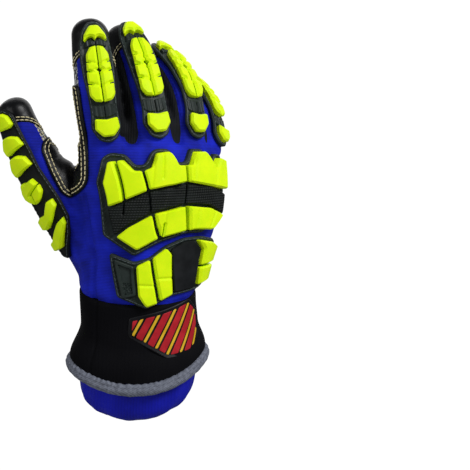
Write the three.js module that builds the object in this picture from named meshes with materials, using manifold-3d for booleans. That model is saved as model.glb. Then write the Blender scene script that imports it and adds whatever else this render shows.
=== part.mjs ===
// Right-hand impact glove with a slip-on cuff: knit and leather panels sewn into a hollow hand,
// moulded guards on the back, a neoprene cuff with piping, an inner cuff and a pull tab.
// Millimetres. +Z runs up through the fingers, the back of the hand faces -Y, the thumb points to -X.
// The origin is the middle of the mouth that the hand goes in by.
import * as THREE from "three";
import { mergeVertices } from "three/addons/utils/BufferGeometryUtils.js";
import { TessellateModifier } from "three/addons/modifiers/TessellateModifier.js";
import Module from "manifold-3d";

const wasm = await Module();
wasm.setup();

// Walls and clearances
const fabricWall = 2.2;
const neopreneWall = 3;
const innerCuffWall = 1.6;
const patchWall = 1.2;
const seamGap = 0.3;
const seatGap = 0.75;

// Heights above the mouth
const hemHeight = 31;
const wristHeight = 86;
const knuckleHeight = 188;

// Breadths and depths of the hand and cuff, outside
const hemBreadth = 94;
const hemDepth = 76;
const wristBreadth = 81;
const wristDepth = 64;
const palmBreadth = 111;
const knuckleDepth = 30;

// The hand is cupped: its section is bent along an arc, and turns away at the little finger
const knuckleTurn = 22;
const knuckleCup = 38;
const knuckleOut = 14;
const knuckleForward = 6;

// The cuff's edges: how far the hem climbs at the two sides, and how the upper seam slopes
const hemClimb = 15;
const hemTilt = 1.5;
const cuffSeamHeight = 89;
const cuffSeamSlope = 0.2;
const cuffSeamTilt = 0.04;
const pipingDiameter = 7;
const pipingOut = 1;

// Reach of the cutting regions beyond the cloth, and the strip between two fingers' roots
const regionReach = 1.6;
const capReach = 2;
const saddleSplit = 8;
const crotchHalf = { across: 7, through: 9 };

// Guards
const guardThickness = 2.2;
const padThickness = 3.4;
const padChamfer = 0.9;
const knucklePadThickness = 4.5;
const stackGap = 0.65;
const tabThickness = 3;
const tabRise = 4.5;
const tabTopRise = 4;
// The inner cuff hangs a little to the thumb's side
const innerCuffDrift = 2.5;

const colours = {
  blueKnit: { color: 0x2430b4, roughness: 0.85, metalness: 0 },
  greyKnit: { color: 0x8f9193, roughness: 0.95, metalness: 0 },
  blackLeather: { color: 0x15161a, roughness: 0.45, metalness: 0 },
  neoprene: { color: 0x0c0c10, roughness: 0.8, metalness: 0 },
  greyPiping: { color: 0x7d8288, roughness: 0.5, metalness: 0 },
  blackRubber: { color: 0x20262a, roughness: 0.6, metalness: 0 },
  brightRubber: { color: 0xdcff1e, roughness: 0.5, metalness: 0 },
  redPrint: { color: 0xd8323c, roughness: 0.6, metalness: 0 },
};

// The body of the hand from wrist (up 0) to knuckles (up 1). broad, deep and bend are shares of the
// way from the wrist's value to the knuckle's.
const palmRows = [
  { up: 0, broad: 0, deep: 0, bend: 0 },
  { up: 0.24, broad: 0.22, deep: 0.24, bend: 0.22 },
  { up: 0.45, broad: 0.55, deep: 0.44, bend: 0.5 },
  { up: 0.7, broad: 0.9, deep: 0.66, bend: 0.85 },
  { up: 0.9, broad: 0.98, deep: 0.87, bend: 1 },
  { up: 1, broad: 0.93, deep: 1, bend: 1 },
  { up: 1.035, broad: 0.86, deep: 1.12, bend: 1 },
];
// The cuff from hem (up 0) to wrist (up 1). flare is the share of the hem's extra size.
const cuffRows = [
  { up: -0.35, flare: 1.1 },
  { up: 0, flare: 1 },
  { up: 0.2, flare: 0.62 },
  { up: 0.4, flare: 0.26 },
  { up: 0.65, flare: 0.06 },
  { up: 1, flare: 0 },
];
// Each finger: where it stands across the palm (-1 thumb side, 1 little-finger side), its size, its
// lean towards the little finger and its bend at the root, middle and end, in degrees. cap is where the
// tip's leather starts on the back and on the palm side, as shares of the length. guard is where the
// guard starts and how long it is, as shares of the finger's length, then its breadth and how far
// aside it stands at its root and tip, as shares of the finger's breadth.
const fingers = [
  {
    name: "index", across: -0.63, length: 86, breadth: 28.4, depth: 28, lean: -7, bend: [-2, 10, 14],
    cap: { back: 0.686, palm: 0.512, slant: 0 },
    guard: { start: 0.035, length: 0.884, breadth: 0.69, aside: [0.11, 0.09] },
  },
  {
    name: "middle", across: -0.05, length: 93, breadth: 29, depth: 28, lean: -5.5, bend: [8, 24, 46],
    cap: { back: 0.71, palm: 0.624, slant: 0 },
    guard: { start: 0.035, length: 0.883, breadth: 0.69, aside: [0.01, 0.017] },
  },
  {
    name: "ring", across: 0.43, length: 88, breadth: 27.6, depth: 27, lean: 4, bend: [7, 40, 65],
    cap: { back: 0.727, palm: 0.682, slant: 0 },
    guard: { start: 0.035, length: 0.88, breadth: 0.68, aside: [-0.05, 0.05] },
  },
  {
    name: "little", across: 0.845, length: 70, breadth: 25.5, depth: 25, lean: 16.5,
    bend: [14, 44, 66],
    cap: { back: 0.72, palm: 0.69, slant: 0 },
    guard: { start: -0.05, length: 0.92, breadth: 0.67, aside: [0, 0] },
  },
];
// foot is where the thumb's own tube starts inside the web, as a share of its length
const thumb = {
  name: "thumb", across: -0.5, rootHeight: 94, set: 7, roll: -65, foot: 0.042,
  length: 142, breadth: 33, depth: 31, lean: -12, bend: [-22, -32, -18],
  cap: { back: 0.845, palm: 0.76, slant: 0.056 },
  guard: { start: 0.183, length: 0.754, breadth: 0.788, aside: [0.121, 0.121] },
};
// The web of skin between thumb and palm: its ends, and its girth from thumb (0) to palm (1)
const webReach = { thumb: 0.5, palm: -0.42, palmHeight: 145 };
const webRows = [
  { along: 0, tall: 20, thick: 10.5 },
  { along: 0.4, tall: 28, thick: 10 },
  { along: 0.7, tall: 30, thick: 11 },
  { along: 1, tall: 30, thick: 12 },
];
// How a finger's girth and bend change along it, as shares of its own sizes. root 1 is the root's
// bend, mid the middle joint's and end the end joint's.
const fingerRows = [
  { along: 0, broad: 1, deep: 1.02, root: 1, mid: 0, end: 0 },
  { along: 0.3, broad: 1.03, deep: 1, root: 0.6, mid: 0.4, end: 0 },
  { along: 0.5, broad: 1.02, deep: 0.96, root: 0, mid: 1, end: 0 },
  { along: 0.75, broad: 0.95, deep: 0.92, root: 0, mid: 0.2, end: 0.8 },
  { along: 1, broad: 0.84, deep: 0.82, root: 0, mid: 0, end: 1 },
];
const thumbRows = [
  { along: 0, broad: 1.1, deep: 1.1, root: 1, mid: 0, end: 0 },
  { along: 0.4, broad: 1.06, deep: 1.08, root: 0.3, mid: 0.7, end: 0 },
  { along: 0.6, broad: 0.95, deep: 0.96, root: 0, mid: 0.8, end: 0.2 },
  { along: 0.8, broad: 0.9, deep: 0.82, root: 0, mid: 0.1, end: 0.9 },
  { along: 1, broad: 0.79, deep: 0.7, root: 0, mid: 0, end: 1 },
];

// The guards. Points are pairs: shares of half the guard's breadth, then shares of its length.
// All four finger guards share one set of outlines.
const guardEdges = { finger: 7.5, thumb: 9, knuckle: 14, wrist: 10 };
const fingerGuardOutlines = {
  base: [
    [0, -0.01], [0.55, 0.02], [0.92, 0.12], [0.8, 0.24], [0.84, 0.38], [0.96, 0.52], [1, 0.68],
    [0.93, 0.8], [0.72, 0.92], [0.3, 1], [-0.3, 1], [-0.72, 0.92], [-0.93, 0.8], [-1, 0.68],
    [-0.96, 0.52], [-0.84, 0.38], [-0.8, 0.24], [-0.92, 0.12], [-0.55, 0.02],
  ],
  tip_pad: [
    [-0.54, 0.825], [-0.16, 0.84], [0, 0.815], [0.16, 0.84], [0.54, 0.825], [0.5, 0.88],
    [0.2, 0.95], [-0.2, 0.95], [-0.5, 0.88],
  ],
  mid_pad: [
    [-0.42, 0.33], [0, 0.32], [0.42, 0.33], [0.63, 0.375], [0.63, 0.52], [0.54, 0.7], [0.32, 0.76],
    [0, 0.77], [-0.32, 0.76], [-0.54, 0.7], [-0.63, 0.52], [-0.63, 0.375],
  ],
  knuckle_pad: [
    [-0.26, 0.045], [0.26, 0.045], [0.62, 0.11], [0.56, 0.195], [0, 0.18], [-0.56, 0.195],
    [-0.62, 0.11],
  ],
};
const thumbGuardOutlines = {
  base: [
    [-0.2, 0.02], [0.1, 0.07], [0.72, 0.17], [1.1, 0.27], [1.1, 0.39], [1, 0.5], [0.88, 0.62],
    [0.85, 0.73], [0.7, 0.85], [0.55, 0.97], [0.2, 1.02], [-0.2, 1.02], [-0.55, 0.97], [-0.7, 0.85],
    [-0.85, 0.73], [-0.88, 0.62], [-0.92, 0.5], [-0.95, 0.3], [-1, 0.12], [-0.8, 0.04],
  ],
  tip_pad: [
    [-0.3, 0.9], [0.3, 0.895], [0.48, 0.91], [0.34, 0.97], [0.12, 0.995], [-0.15, 0.995],
    [-0.36, 0.97], [-0.5, 0.915],
  ],
  second_pad: [
    [0.02, 0.76], [0.6, 0.79], [0.44, 0.845], [0.02, 0.83], [-0.38, 0.845], [-0.54, 0.79],
  ],
  third_pad: [[0.02, 0.64], [0.62, 0.67], [0.44, 0.73], [0.02, 0.715], [-0.4, 0.73], [-0.56, 0.67]],
  middle_pad: [
    [0, 0.435], [0.3, 0.46], [0.66, 0.49], [0.66, 0.525], [0.42, 0.585], [0, 0.57], [-0.38, 0.585],
    [-0.62, 0.525], [-0.62, 0.49], [-0.3, 0.46],
  ],
  upper_bar: [
    [-0.6, 0.27], [-0.3, 0.27], [0.2, 0.288], [0.82, 0.38], [0.8, 0.42], [0.5, 0.415],
    [-0.22, 0.345], [-0.6, 0.335],
  ],
  lower_bar: [
    [-0.7, 0.1], [0.02, 0.11], [0.84, 0.245], [0.86, 0.288], [0.52, 0.272], [-0.4, 0.172],
    [-0.7, 0.165],
  ],
};
// Over the knuckles and on the wrist: shares of half the palm's breadth, then of the way from the
// wrist to the knuckles
const knuckleGuardOutlines = {
  base: [
    [-0.757, 0.77], [-0.721, 0.917], [-0.649, 0.946], [-0.514, 0.941], [-0.405, 0.877],
    [-0.297, 0.882], [-0.209, 0.967], [-0.133, 0.986], [0, 0.985], [0.072, 0.897], [0.216, 0.895],
    [0.299, 0.984], [0.468, 0.98], [0.62, 0.868], [0.712, 0.947], [0.852, 0.936], [0.91, 0.833],
    [0.91, 0.647], [0.892, 0.52], [0.595, 0.431], [0.35, 0.439], [0.054, 0.397], [-0.18, 0.322],
    [-0.532, 0.451],
  ],
  first_top_pad: [[-0.677, 0.9], [-0.62, 0.91], [-0.474, 0.653], [-0.605, 0.621], [-0.708, 0.771]],
  second_top_pad: [
    [-0.582, 0.909], [-0.533, 0.916], [-0.405, 0.845], [-0.324, 0.845], [-0.245, 0.718],
    [-0.447, 0.664],
  ],
  third_top_pad: [
    [-0.295, 0.845], [-0.218, 0.863], [-0.162, 0.955], [-0.009, 0.967], [0.081, 0.876],
    [0.16, 0.876], [0.187, 0.769], [-0.218, 0.725],
  ],
  fourth_top_pad: [
    [0.191, 0.876], [0.263, 0.875], [0.317, 0.963], [0.454, 0.963], [0.618, 0.847], [0.695, 0.918],
    [0.811, 0.904], [0.832, 0.702], [0.216, 0.769],
  ],
  band: [
    [-0.613, 0.604], [-0.45, 0.645], [-0.241, 0.705], [0.204, 0.751], [0.569, 0.729],
    [0.854, 0.671], [0.861, 0.534], [0.577, 0.608], [0.236, 0.629], [-0.121, 0.58],
    [-0.335, 0.506], [-0.456, 0.433],
  ],
  first_low_pad: [[-0.42, 0.424], [-0.332, 0.482], [-0.124, 0.559], [0.016, 0.406], [-0.168, 0.337]],
  second_low_pad: [[-0.088, 0.567], [0.223, 0.608], [0.314, 0.451], [0.05, 0.414]],
  third_low_pad: [
    [0.268, 0.61], [0.568, 0.588], [0.811, 0.535], [0.676, 0.443], [0.443, 0.455], [0.35, 0.451],
  ],
};
const wristGuardOutlines = {
  base: [
    [-0.414, 0.306], [-0.15, 0.251], [-0.007, 0.276], [0.166, 0.357], [0.432, 0.369],
    [0.816, 0.357], [0.984, 0.324], [1.009, 0.195], [0.982, 0.075], [0.793, 0.049], [0.364, 0.025],
    [0.076, -0.055], [-0.133, 0], [-0.218, 0.031],
  ],
  side_panel: [[-0.332, 0.271], [-0.15, 0.227], [-0.054, 0.041], [-0.159, 0.014]],
  first_pad: [[-0.119, 0.229], [0.007, 0.268], [0.187, -0.014], [0.07, -0.037], [-0.029, 0.039]],
  second_pad: [[0.036, 0.28], [0.155, 0.339], [0.232, 0.298], [0.341, 0.039], [0.22, 0.002]],
  middle_panel: [[0.259, 0.314], [0.468, 0.345], [0.605, 0.206], [0.641, 0.067], [0.371, 0.049]],
  upper_side_pad: [[0.505, 0.347], [0.739, 0.337], [0.937, 0.308], [0.962, 0.211], [0.638, 0.21]],
  lower_side_pad: [[0.636, 0.196], [0.962, 0.196], [0.937, 0.092], [0.674, 0.078]],
};
// Leather patches, seen from the back and from the palm, in the same shares
const saddleFromBack = [
  [-1.063, 1.069], [-1.126, 1.03], [-1.14, 0.97], [-1.045, 0.833], [-0.92, 0.7],
  [-0.811, 0.661], [-0.667, 0.745], [-0.658, 0.862], [-0.685, 1.02], [-1.063, 1.127],
];
const saddleFromPalm = [
  [-1.045, 0.971], [-1.297, 0.824], [-1.261, 0.716], [-1.081, 0.696], [-1.009, 0.637],
  [-1.063, 0.549], [-0.901, 0.495], [-0.595, 0.706], [-0.649, 0.824], [-0.811, 1],
];
const palmPatchOutline = [
  [0.829, 0.814], [0.613, 0.873], [0.144, 0.922], [-0.162, 0.985], [-0.27, 0.976], [-0.36, 0.936],
  [-0.45, 0.98], [-0.595, 0.961], [-0.577, 0.804], [-0.559, 0.696], [-0.144, 0.549],
  [0.577, 0.353], [0.721, 0.353], [0.793, 0.5],
];
const indexSideOutline = [
  [-0.486, 1.049], [-0.486, 1.176], [-0.541, 1.353], [-0.685, 1.373], [-0.937, 1.333],
  [-0.865, 1.049],
];
// The pull tab and the badge: shares of half the wrist's breadth, then of the wrist's height
const pullTabOutline = [
  [-2.272, 1.14], [-2.049, 1.151], [-1.877, 1.047], [-1.901, 0.86], [-2.123, 0.64], [-2.42, 0.395],
  [-2.346, 0.314], [-2.42, 0.174], [-2.617, 0.105], [-2.84, 0.116], [-3.012, 0.209],
  [-3.062, 0.326], [-2.914, 0.419], [-2.765, 0.581], [-2.617, 0.837], [-2.444, 1.058],
];
const badgeOutline = [
  [-0.198, 0.721], [-0.173, 0.866], [0.346, 0.913], [0.889, 0.983], [1.136, 0.884], [1.185, 0.674],
  [1.086, 0.558], [0.444, 0.535],
];

const rad = THREE.MathUtils.degToRad;
const mix = THREE.MathUtils.lerp;
const power = (value, exponent) => Math.sign(value) * Math.abs(value) ** exponent;

// A column of a table at a place between its rows, on a smooth curve through them
function column(rows, key, name, at) {
  const last = rows.length - 1;
  const clamped = THREE.MathUtils.clamp(at, rows[0][key], rows[last][key]);
  let row = 0;
  while (row < last - 1 && clamped > rows[row + 1][key]) row += 1;
  const slope = (i) => {
    const before = rows[Math.max(i - 1, 0)];
    const after = rows[Math.min(i + 1, last)];
    return (after[name] - before[name]) / (after[key] - before[key]);
  };
  const step = rows[row + 1][key] - rows[row][key];
  const share = (clamped - rows[row][key]) / step;
  const square = share * share;
  const cube = square * share;
  return (
    (2 * cube - 3 * square + 1) * rows[row][name] +
    (cube - 2 * square + share) * step * slope(row) +
    (3 * square - 2 * cube) * rows[row + 1][name] +
    (cube - square) * step * slope(row + 1)
  );
}

// Limbs. A limb's section(s) gives its middle, its two directions and its half sizes; a section is a
// superellipse whose middle line may be bent along an arc (turn and cup, in radians).
function bodySection(height) {
  const up = (height - wristHeight) / (knuckleHeight - wristHeight);
  const low = (height - hemHeight) / (wristHeight - hemHeight);
  const flare = column(cuffRows, "up", "flare", low);
  const broad = column(palmRows, "up", "broad", up);
  const deep = column(palmRows, "up", "deep", up);
  const bend = column(palmRows, "up", "bend", up);
  const breadth = mix(wristBreadth + flare * (hemBreadth - wristBreadth), palmBreadth, broad);
  const depth = mix(wristDepth + flare * (hemDepth - wristDepth), knuckleDepth, deep);
  return {
    middle: new THREE.Vector3(knuckleOut * bend, -knuckleForward * bend, height),
    side: new THREE.Vector3(1, 0, 0),
    back: new THREE.Vector3(0, -1, 0),
    axis: new THREE.Vector3(0, 0, 1),
    wide: breadth / 2,
    deep: depth / 2,
    turn: rad(knuckleTurn) * bend,
    cup: rad(knuckleCup) * bend,
    square: mix(2.15, 2.5, THREE.MathUtils.clamp(bend, 0, 1)),
    dome: 1,
  };
}
const body = { section: bodySection };

// A point on the body's middle surface, and the way the back faces there
function bodyMiddle(across, height) {
  const section = bodySection(height);
  const [x, y] = bent(section, across * section.wide, 0, 0);
  const turn = section.turn + section.cup * across;
  return {
    point: section.middle.clone().addScaledVector(section.side, x).addScaledVector(section.back, y),
    roll: turn,
  };
}

// In-plane place of x along a section's bent middle line and v out of it towards the back
function bent(section, x, v, grow) {
  const half = section.wide + grow;
  const turn = section.turn + (section.cup * x) / half;
  const straight = Math.abs(section.cup) < 1e-6;
  const along = straight
    ? x * Math.cos(section.turn)
    : (half * (Math.sin(turn) - Math.sin(section.turn))) / section.cup;
  const rise = straight
    ? -x * Math.sin(section.turn)
    : (half * (Math.cos(turn) - Math.cos(section.turn))) / section.cup;
  return [along + Math.sin(turn) * v, rise + Math.cos(turn) * v];
}

// A bent tube that starts inside the body and ends in a round tip
function digitLimb(digit, rows, start, roll, rootLength) {
  const steps = 60;
  const total = rootLength + digit.length;
  const tipRadius = (digit.depth * rows[rows.length - 1].deep) / 2;
  const lean = rad(digit.lean);
  const across = new THREE.Vector3(Math.cos(roll), Math.sin(roll), 0);
  const outward = new THREE.Vector3(Math.sin(roll), -Math.cos(roll), 0);
  const up = new THREE.Vector3(0, 0, Math.cos(lean)).addScaledVector(across, Math.sin(lean));
  const side = across.clone().multiplyScalar(Math.cos(lean));
  side.z -= Math.sin(lean);
  const bendAt = (along) =>
    rad(
      digit.bend[0] * column(rows, "along", "root", along) +
        digit.bend[1] * column(rows, "along", "mid", along) +
        digit.bend[2] * column(rows, "along", "end", along),
    );
  const middles = [start.clone()];
  for (let i = 0; i < steps; i += 1) {
    const bend = bendAt(((i + 0.5) / steps) * (total / digit.length) - rootLength / digit.length);
    const step = up.clone().multiplyScalar(Math.cos(bend)).addScaledVector(outward, -Math.sin(bend));
    middles.push(middles[i].clone().addScaledVector(step, total / steps));
  }
  const section = (s, grow = 0) => {
    const place = THREE.MathUtils.clamp(((s + rootLength) / total) * steps, 0, steps);
    const low = Math.min(Math.floor(place), steps - 1);
    const along = s / digit.length;
    const bend = bendAt(along);
    const axis = up.clone().multiplyScalar(Math.cos(bend)).addScaledVector(outward, -Math.sin(bend));
    const beyond = Math.max(0, s - digit.length);
    const domeShare = Math.max(0, s - (digit.length - tipRadius)) / (tipRadius + grow);
    return {
      middle: middles[low].clone().lerp(middles[low + 1], place - low).addScaledVector(axis, beyond),
      side,
      back: outward.clone().multiplyScalar(Math.cos(bend)).addScaledVector(up, Math.sin(bend)),
      axis,
      wide: (digit.breadth / 2) * column(rows, "along", "broad", along),
      deep: (digit.depth / 2) * column(rows, "along", "deep", along),
      turn: 0,
      cup: 0,
      square: 2.3,
      dome: Math.sqrt(Math.max(0, 1 - Math.min(1, domeShare) ** 2.3)),
    };
  };
  return { section, length: digit.length, root: -rootLength, tipRadius };
}

const fingerRoot = 7;
for (const finger of fingers) {
  const { point } = bodyMiddle(finger.across, knuckleHeight - fingerRoot);
  const { roll } = bodyMiddle(finger.across, knuckleHeight);
  finger.limb = digitLimb(finger, fingerRows, point, roll, fingerRoot);
}
const thumbStart = bodyMiddle(thumb.across, thumb.rootHeight).point;
thumbStart.y += thumb.set;
thumb.limb = {
  ...digitLimb(thumb, thumbRows, thumbStart, rad(thumb.roll), 0),
  root: thumb.foot * thumb.length,
};

// A point of a limb's surface at a place along it and an angle round it, grown outwards
function surfacePoint(limb, s, angle, grow) {
  const section = limb.section(s, grow);
  const x = power(Math.cos(angle), 2 / section.square) * (section.wide + grow);
  const v = power(Math.sin(angle), 2 / section.square) * (section.deep + grow);
  const [a, b] = bent(section, x, v, grow);
  return section.middle
    .clone()
    .addScaledVector(section.side, a * section.dome)
    .addScaledVector(section.back, b * section.dome);
}

// Arc lengths round the back of a limb's section, measured from the middle of its back
const arcSteps = 40;
const arcTables = new Map();
function arcTable(limb, s) {
  if (!arcTables.has(limb)) arcTables.set(limb, new Map());
  const known = arcTables.get(limb);
  const key = Math.round(s * 10);
  if (known.has(key)) return known.get(key);
  const section = limb.section(s, 0);
  const point = (angle) => {
    const x = power(Math.cos(angle), 2 / section.square) * section.wide;
    const v = power(Math.sin(angle), 2 / section.square) * section.deep;
    return bent(section, x, v, 0);
  };
  const table = [1, -1].map((way) => {
    const lengths = [0];
    let last = point(Math.PI / 2);
    for (let i = 1; i <= arcSteps; i += 1) {
      const next = point(Math.PI / 2 - (way * Math.PI * i) / arcSteps);
      lengths.push(lengths[i - 1] + Math.hypot(next[0] - last[0], next[1] - last[1]));
      last = next;
    }
    return lengths;
  });
  known.set(key, table);
  return table;
}

// A point at a distance round from the middle of the back, along the limb and above its surface
function platePoint(limb, round, s, height) {
  const lengths = arcTable(limb, s)[round < 0 ? 1 : 0];
  const target = Math.abs(round);
  let i = 0;
  while (i < arcSteps - 1 && lengths[i + 1] < target) i += 1;
  const share = (target - lengths[i]) / (lengths[i + 1] - lengths[i]);
  const turn = (Math.PI * Math.min(i + share, arcSteps)) / arcSteps;
  return surfacePoint(limb, s, Math.PI / 2 - Math.sign(round || 1) * turn, height);
}

// Solids
const join = (solids) => solids.reduce((sum, solid) => sum.add(solid));

function solidFrom(positions, triangles) {
  const mesh = new wasm.Mesh({
    numProp: 3,
    vertProperties: new Float32Array(positions),
    triVerts: new Uint32Array(triangles),
  });
  return new wasm.Manifold(mesh);
}

function facingOut(positions, triangles) {
  const made = solidFrom(positions, triangles);
  if (made.volume() > 0) return made;
  const turned = [];
  for (let i = 0; i < triangles.length; i += 3) {
    turned.push(triangles[i + 1], triangles[i], triangles[i + 2]);
  }
  return solidFrom(positions, turned);
}

// A solid through rings of points, capped at both ends, or closed round on itself
function loft(rings, closed = false) {
  const count = rings[0].length;
  const positions = [];
  const triangles = [];
  for (const ring of rings) for (const p of ring) positions.push(p.x, p.y, p.z);
  for (let i = 0; i < rings.length - (closed ? 0 : 1); i += 1) {
    const low = i * count;
    const high = ((i + 1) % rings.length) * count;
    for (let j = 0; j < count; j += 1) {
      const next = (j + 1) % count;
      triangles.push(low + j, low + next, high + j, low + next, high + next, high + j);
    }
  }
  for (const end of closed ? [] : [0, rings.length - 1]) {
    const centre = rings[end].reduce((sum, p) => sum.add(p), new THREE.Vector3());
    centre.divideScalar(count);
    positions.push(centre.x, centre.y, centre.z);
    const middle = positions.length / 3 - 1;
    for (let j = 0; j < count; j += 1) {
      const a = end * count + j;
      const b = end * count + ((j + 1) % count);
      triangles.push(...(end === 0 ? [b, a, middle] : [a, b, middle]));
    }
  }
  return facingOut(positions, triangles);
}

const spread = (from, to, count) =>
  Array.from({ length: count + 1 }, (_, i) => mix(from, to, i / count));
const turnOf = (j, sides) => (2 * Math.PI * j) / sides;

function limbLoft(limb, places, sides, grow) {
  const rings = places.map((s) =>
    Array.from({ length: sides }, (_, j) => surfacePoint(limb, s, turnOf(j, sides), grow)),
  );
  return loft(rings);
}

// The places of a digit's rings: even along it, then closing over the tip
function digitPlaces(limb, grow, rings, tipRings) {
  const domeStart = limb.length - limb.tipRadius;
  const places = spread(limb.root, domeStart, rings);
  for (let i = 1; i <= tipRings; i += 1) {
    const angle = (Math.PI / 2) * (i / (tipRings + 0.35));
    places.push(domeStart + (limb.tipRadius + grow) * Math.sin(angle));
  }
  return places;
}

// The web of skin between thumb and palm, a tall flat limb from one to the other
const webFrom = thumb.limb.section(webReach.thumb * thumb.length).middle;
const webTo = bodyMiddle(webReach.palm, webReach.palmHeight).point;
const webAxis = webTo.clone().sub(webFrom).normalize();
const webBack = new THREE.Vector3(0, -1, 0).addScaledVector(webAxis, webAxis.y).normalize();
const webSide = new THREE.Vector3().crossVectors(webAxis, webBack).normalize();
const web = {
  section: (along) => ({
    middle: webFrom.clone().lerp(webTo, along),
    side: webSide,
    back: webBack,
    axis: webAxis,
    wide: column(webRows, "along", "tall", along),
    deep: column(webRows, "along", "thick", along),
    turn: 0,
    cup: 0,
    square: 2.4,
    dome: 1,
  }),
};

// The whole hand, grown by a distance. The body starts below the cuff seam.
const handTop = knuckleHeight + 0.035 * (knuckleHeight - wristHeight);
const bodySides = 20;
const digitSides = 11;
function handSolid(grow, fine) {
  const bottom = wristHeight - 30;
  const heights = [bottom, ...spread(wristHeight - 12, knuckleHeight, fine ? 6 : 4), handTop + grow];
  const parts = [limbLoft(body, heights, fine ? bodySides : bodySides - 4, grow)];
  for (const digit of [...fingers, thumb]) {
    const places = digitPlaces(digit.limb, grow, fine ? 5 : 4, fine ? 3 : 2);
    parts.push(limbLoft(digit.limb, places, fine ? digitSides : digitSides - 4, grow));
  }
  parts.push(limbLoft(web, spread(0, 1, 3), 10, grow));
  return join(parts);
}

// Seam heights round the cuff
const hemAt = (angle) => hemHeight + hemClimb * Math.cos(angle) ** 2 + hemTilt * Math.cos(angle);
function cuffSeamAt(angle, grow = 0) {
  let height = cuffSeamHeight;
  for (let i = 0; i < 4; i += 1) {
    const place = surfacePoint(body, height, angle, grow);
    height = cuffSeamHeight + cuffSeamSlope * place.y - cuffSeamTilt * place.x;
  }
  return height;
}

function cuffRings(lowAt, highAt, steps, grow, sides = bodySides) {
  return spread(0, 1, steps).map((share) =>
    Array.from({ length: sides }, (_, j) => {
      const angle = turnOf(j, sides);
      return surfacePoint(body, mix(lowAt(angle), highAt(angle), share), angle, grow);
    }),
  );
}

const group = new THREE.Group();
function node(name, solid, look) {
  const mesh = solid.getMesh();
  const positions = new Float32Array(mesh.numVert * 3);
  for (let i = 0; i < mesh.numVert; i += 1) {
    positions.set(mesh.vertProperties.subarray(i * mesh.numProp, i * mesh.numProp + 3), i * 3);
  }
  const geometry = new THREE.BufferGeometry();
  geometry.setAttribute("position", new THREE.BufferAttribute(positions, 3));
  geometry.setIndex(new THREE.BufferAttribute(mesh.triVerts, 1));
  const made = new THREE.Mesh(geometry, new THREE.MeshStandardMaterial(look));
  made.name = name;
  group.add(made);
}

// Regions of the hand. A wedge runs along a limb from its middle out through its wall, between two
// angles; a slack widens it by that distance on every side.
function wedge(limb, places, fromAt, toAt, slack, steps = 8) {
  const reach = (limb === body ? regionReach * 2.5 : regionReach) + slack;
  const rings = places.map((s) => {
    const section = limb.section(s, 0);
    const widen = slack / Math.min(section.wide, section.deep);
    const from = rad(fromAt(s)) - widen;
    const to = rad(toAt(s)) + widen;
    const arc = spread(from, to, steps).map((angle) => {
      const x = power(Math.cos(angle), 2 / section.square) * (section.wide + reach);
      const v = power(Math.sin(angle), 2 / section.square) * (section.deep + reach);
      const [a, b] = bent(section, x, v, 0);
      return section.middle.clone().addScaledVector(section.side, a).addScaledVector(section.back, b);
    });
    const inner = [0.6, 0.3, 0, -0.3, -0.6].map((x) => {
      const [a, b] = bent(section, x * section.wide * wedgeCore(from, to), 0, 0);
      return section.middle.clone().addScaledVector(section.side, a).addScaledVector(section.back, b);
    });
    return [...arc, ...inner.reverse()];
  });
  return loft(rings);
}
const wedgeCore = (from, to) => (to - from > 2.4 ? 1 : 0.02);

// The closed end of a digit beyond its cap seam, which slants from back to palm
function capRegion(digit, slack) {
  const { limb, cap } = digit;
  const sides = 14;
  const start = (angle) => {
    const share = mix(cap.palm, cap.back, (Math.sin(angle) + 1) / 2) + cap.slant * Math.cos(angle);
    return share * digit.length - slack;
  };
  const rings = spread(0, 1, 3).map((share) =>
    Array.from({ length: sides }, (_, j) => {
      const angle = turnOf(j, sides);
      const s = mix(start(angle), digit.length + 8, share);
      const section = limb.section(s, 0);
      const reach = capReach + slack;
      return section.middle
        .clone()
        .addScaledVector(section.side, Math.cos(angle) * (section.wide + reach))
        .addScaledVector(section.back, Math.sin(angle) * (section.deep + reach));
    }),
  );
  return loft(rings);
}

// The short strip of black between two fingers' roots
function crotchRegion(left, right, slack) {
  const across = (left.across + right.across) / 2;
  const foot = bodyMiddle(across, knuckleHeight - 6);
  const out = new THREE.Vector3(Math.sin(foot.roll), -Math.cos(foot.roll), 0);
  const along = new THREE.Vector3(Math.cos(foot.roll), Math.sin(foot.roll), 0);
  const ring = (height) =>
    [[-1, -1], [1, -1], [1, 1], [-1, 1]].map(([x, y]) =>
      foot.point
        .clone()
        .addScaledVector(along, x * (crotchHalf.across + slack))
        .addScaledVector(out, y * (crotchHalf.through + slack))
        .setZ(height),
    );
  return loft([ring(knuckleHeight - 1 - slack), ring(knuckleHeight + 14)]);
}

const even = (value) => () => value;
// The back panel's far seam: the angle round the palm where it runs, at the wrist and at the knuckles
const farSeam = { wrist: 209, knuckle: 166 };
const bodyFarSeam = (s) => {
  const up = THREE.MathUtils.smoothstep(s, wristHeight + 10, knuckleHeight);
  return mix(farSeam.wrist, farSeam.knuckle, up);
};
const [indexFinger, middleFinger, ringFinger, littleFinger] = fingers;
const fullRun = (digit, slack) => spread(-4 - slack, digit.length + 8, 4);
const thumbRun = (slack) => spread(thumb.limb.root - slack, thumb.length + 8, 6);
const webRun = (slack) => spread(-0.1 - slack / 40, 1.1 + slack / 40, 4);
const palmRun = spread(wristHeight - 30, handTop + 3, 8);
const sideRun = (digit, slack) => spread(1 - slack, digit.length + 8, 4);

const backRegion = (slack) =>
  join([
    wedge(body, palmRun, even(-12), bodyFarSeam, slack, 12),
    wedge(indexFinger.limb, fullRun(indexFinger, slack), even(20), even(156), slack),
    wedge(middleFinger.limb, fullRun(middleFinger, slack), even(20), even(160), slack),
    wedge(ringFinger.limb, fullRun(ringFinger, slack), even(20), even(160), slack),
    wedge(littleFinger.limb, fullRun(littleFinger, slack), even(-12), even(160), slack),
    wedge(thumb.limb, thumbRun(slack), even(-28), even(165), slack, 10),
    wedge(web, webRun(slack), even(0), even(180), slack, 8),
  ]);

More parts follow.
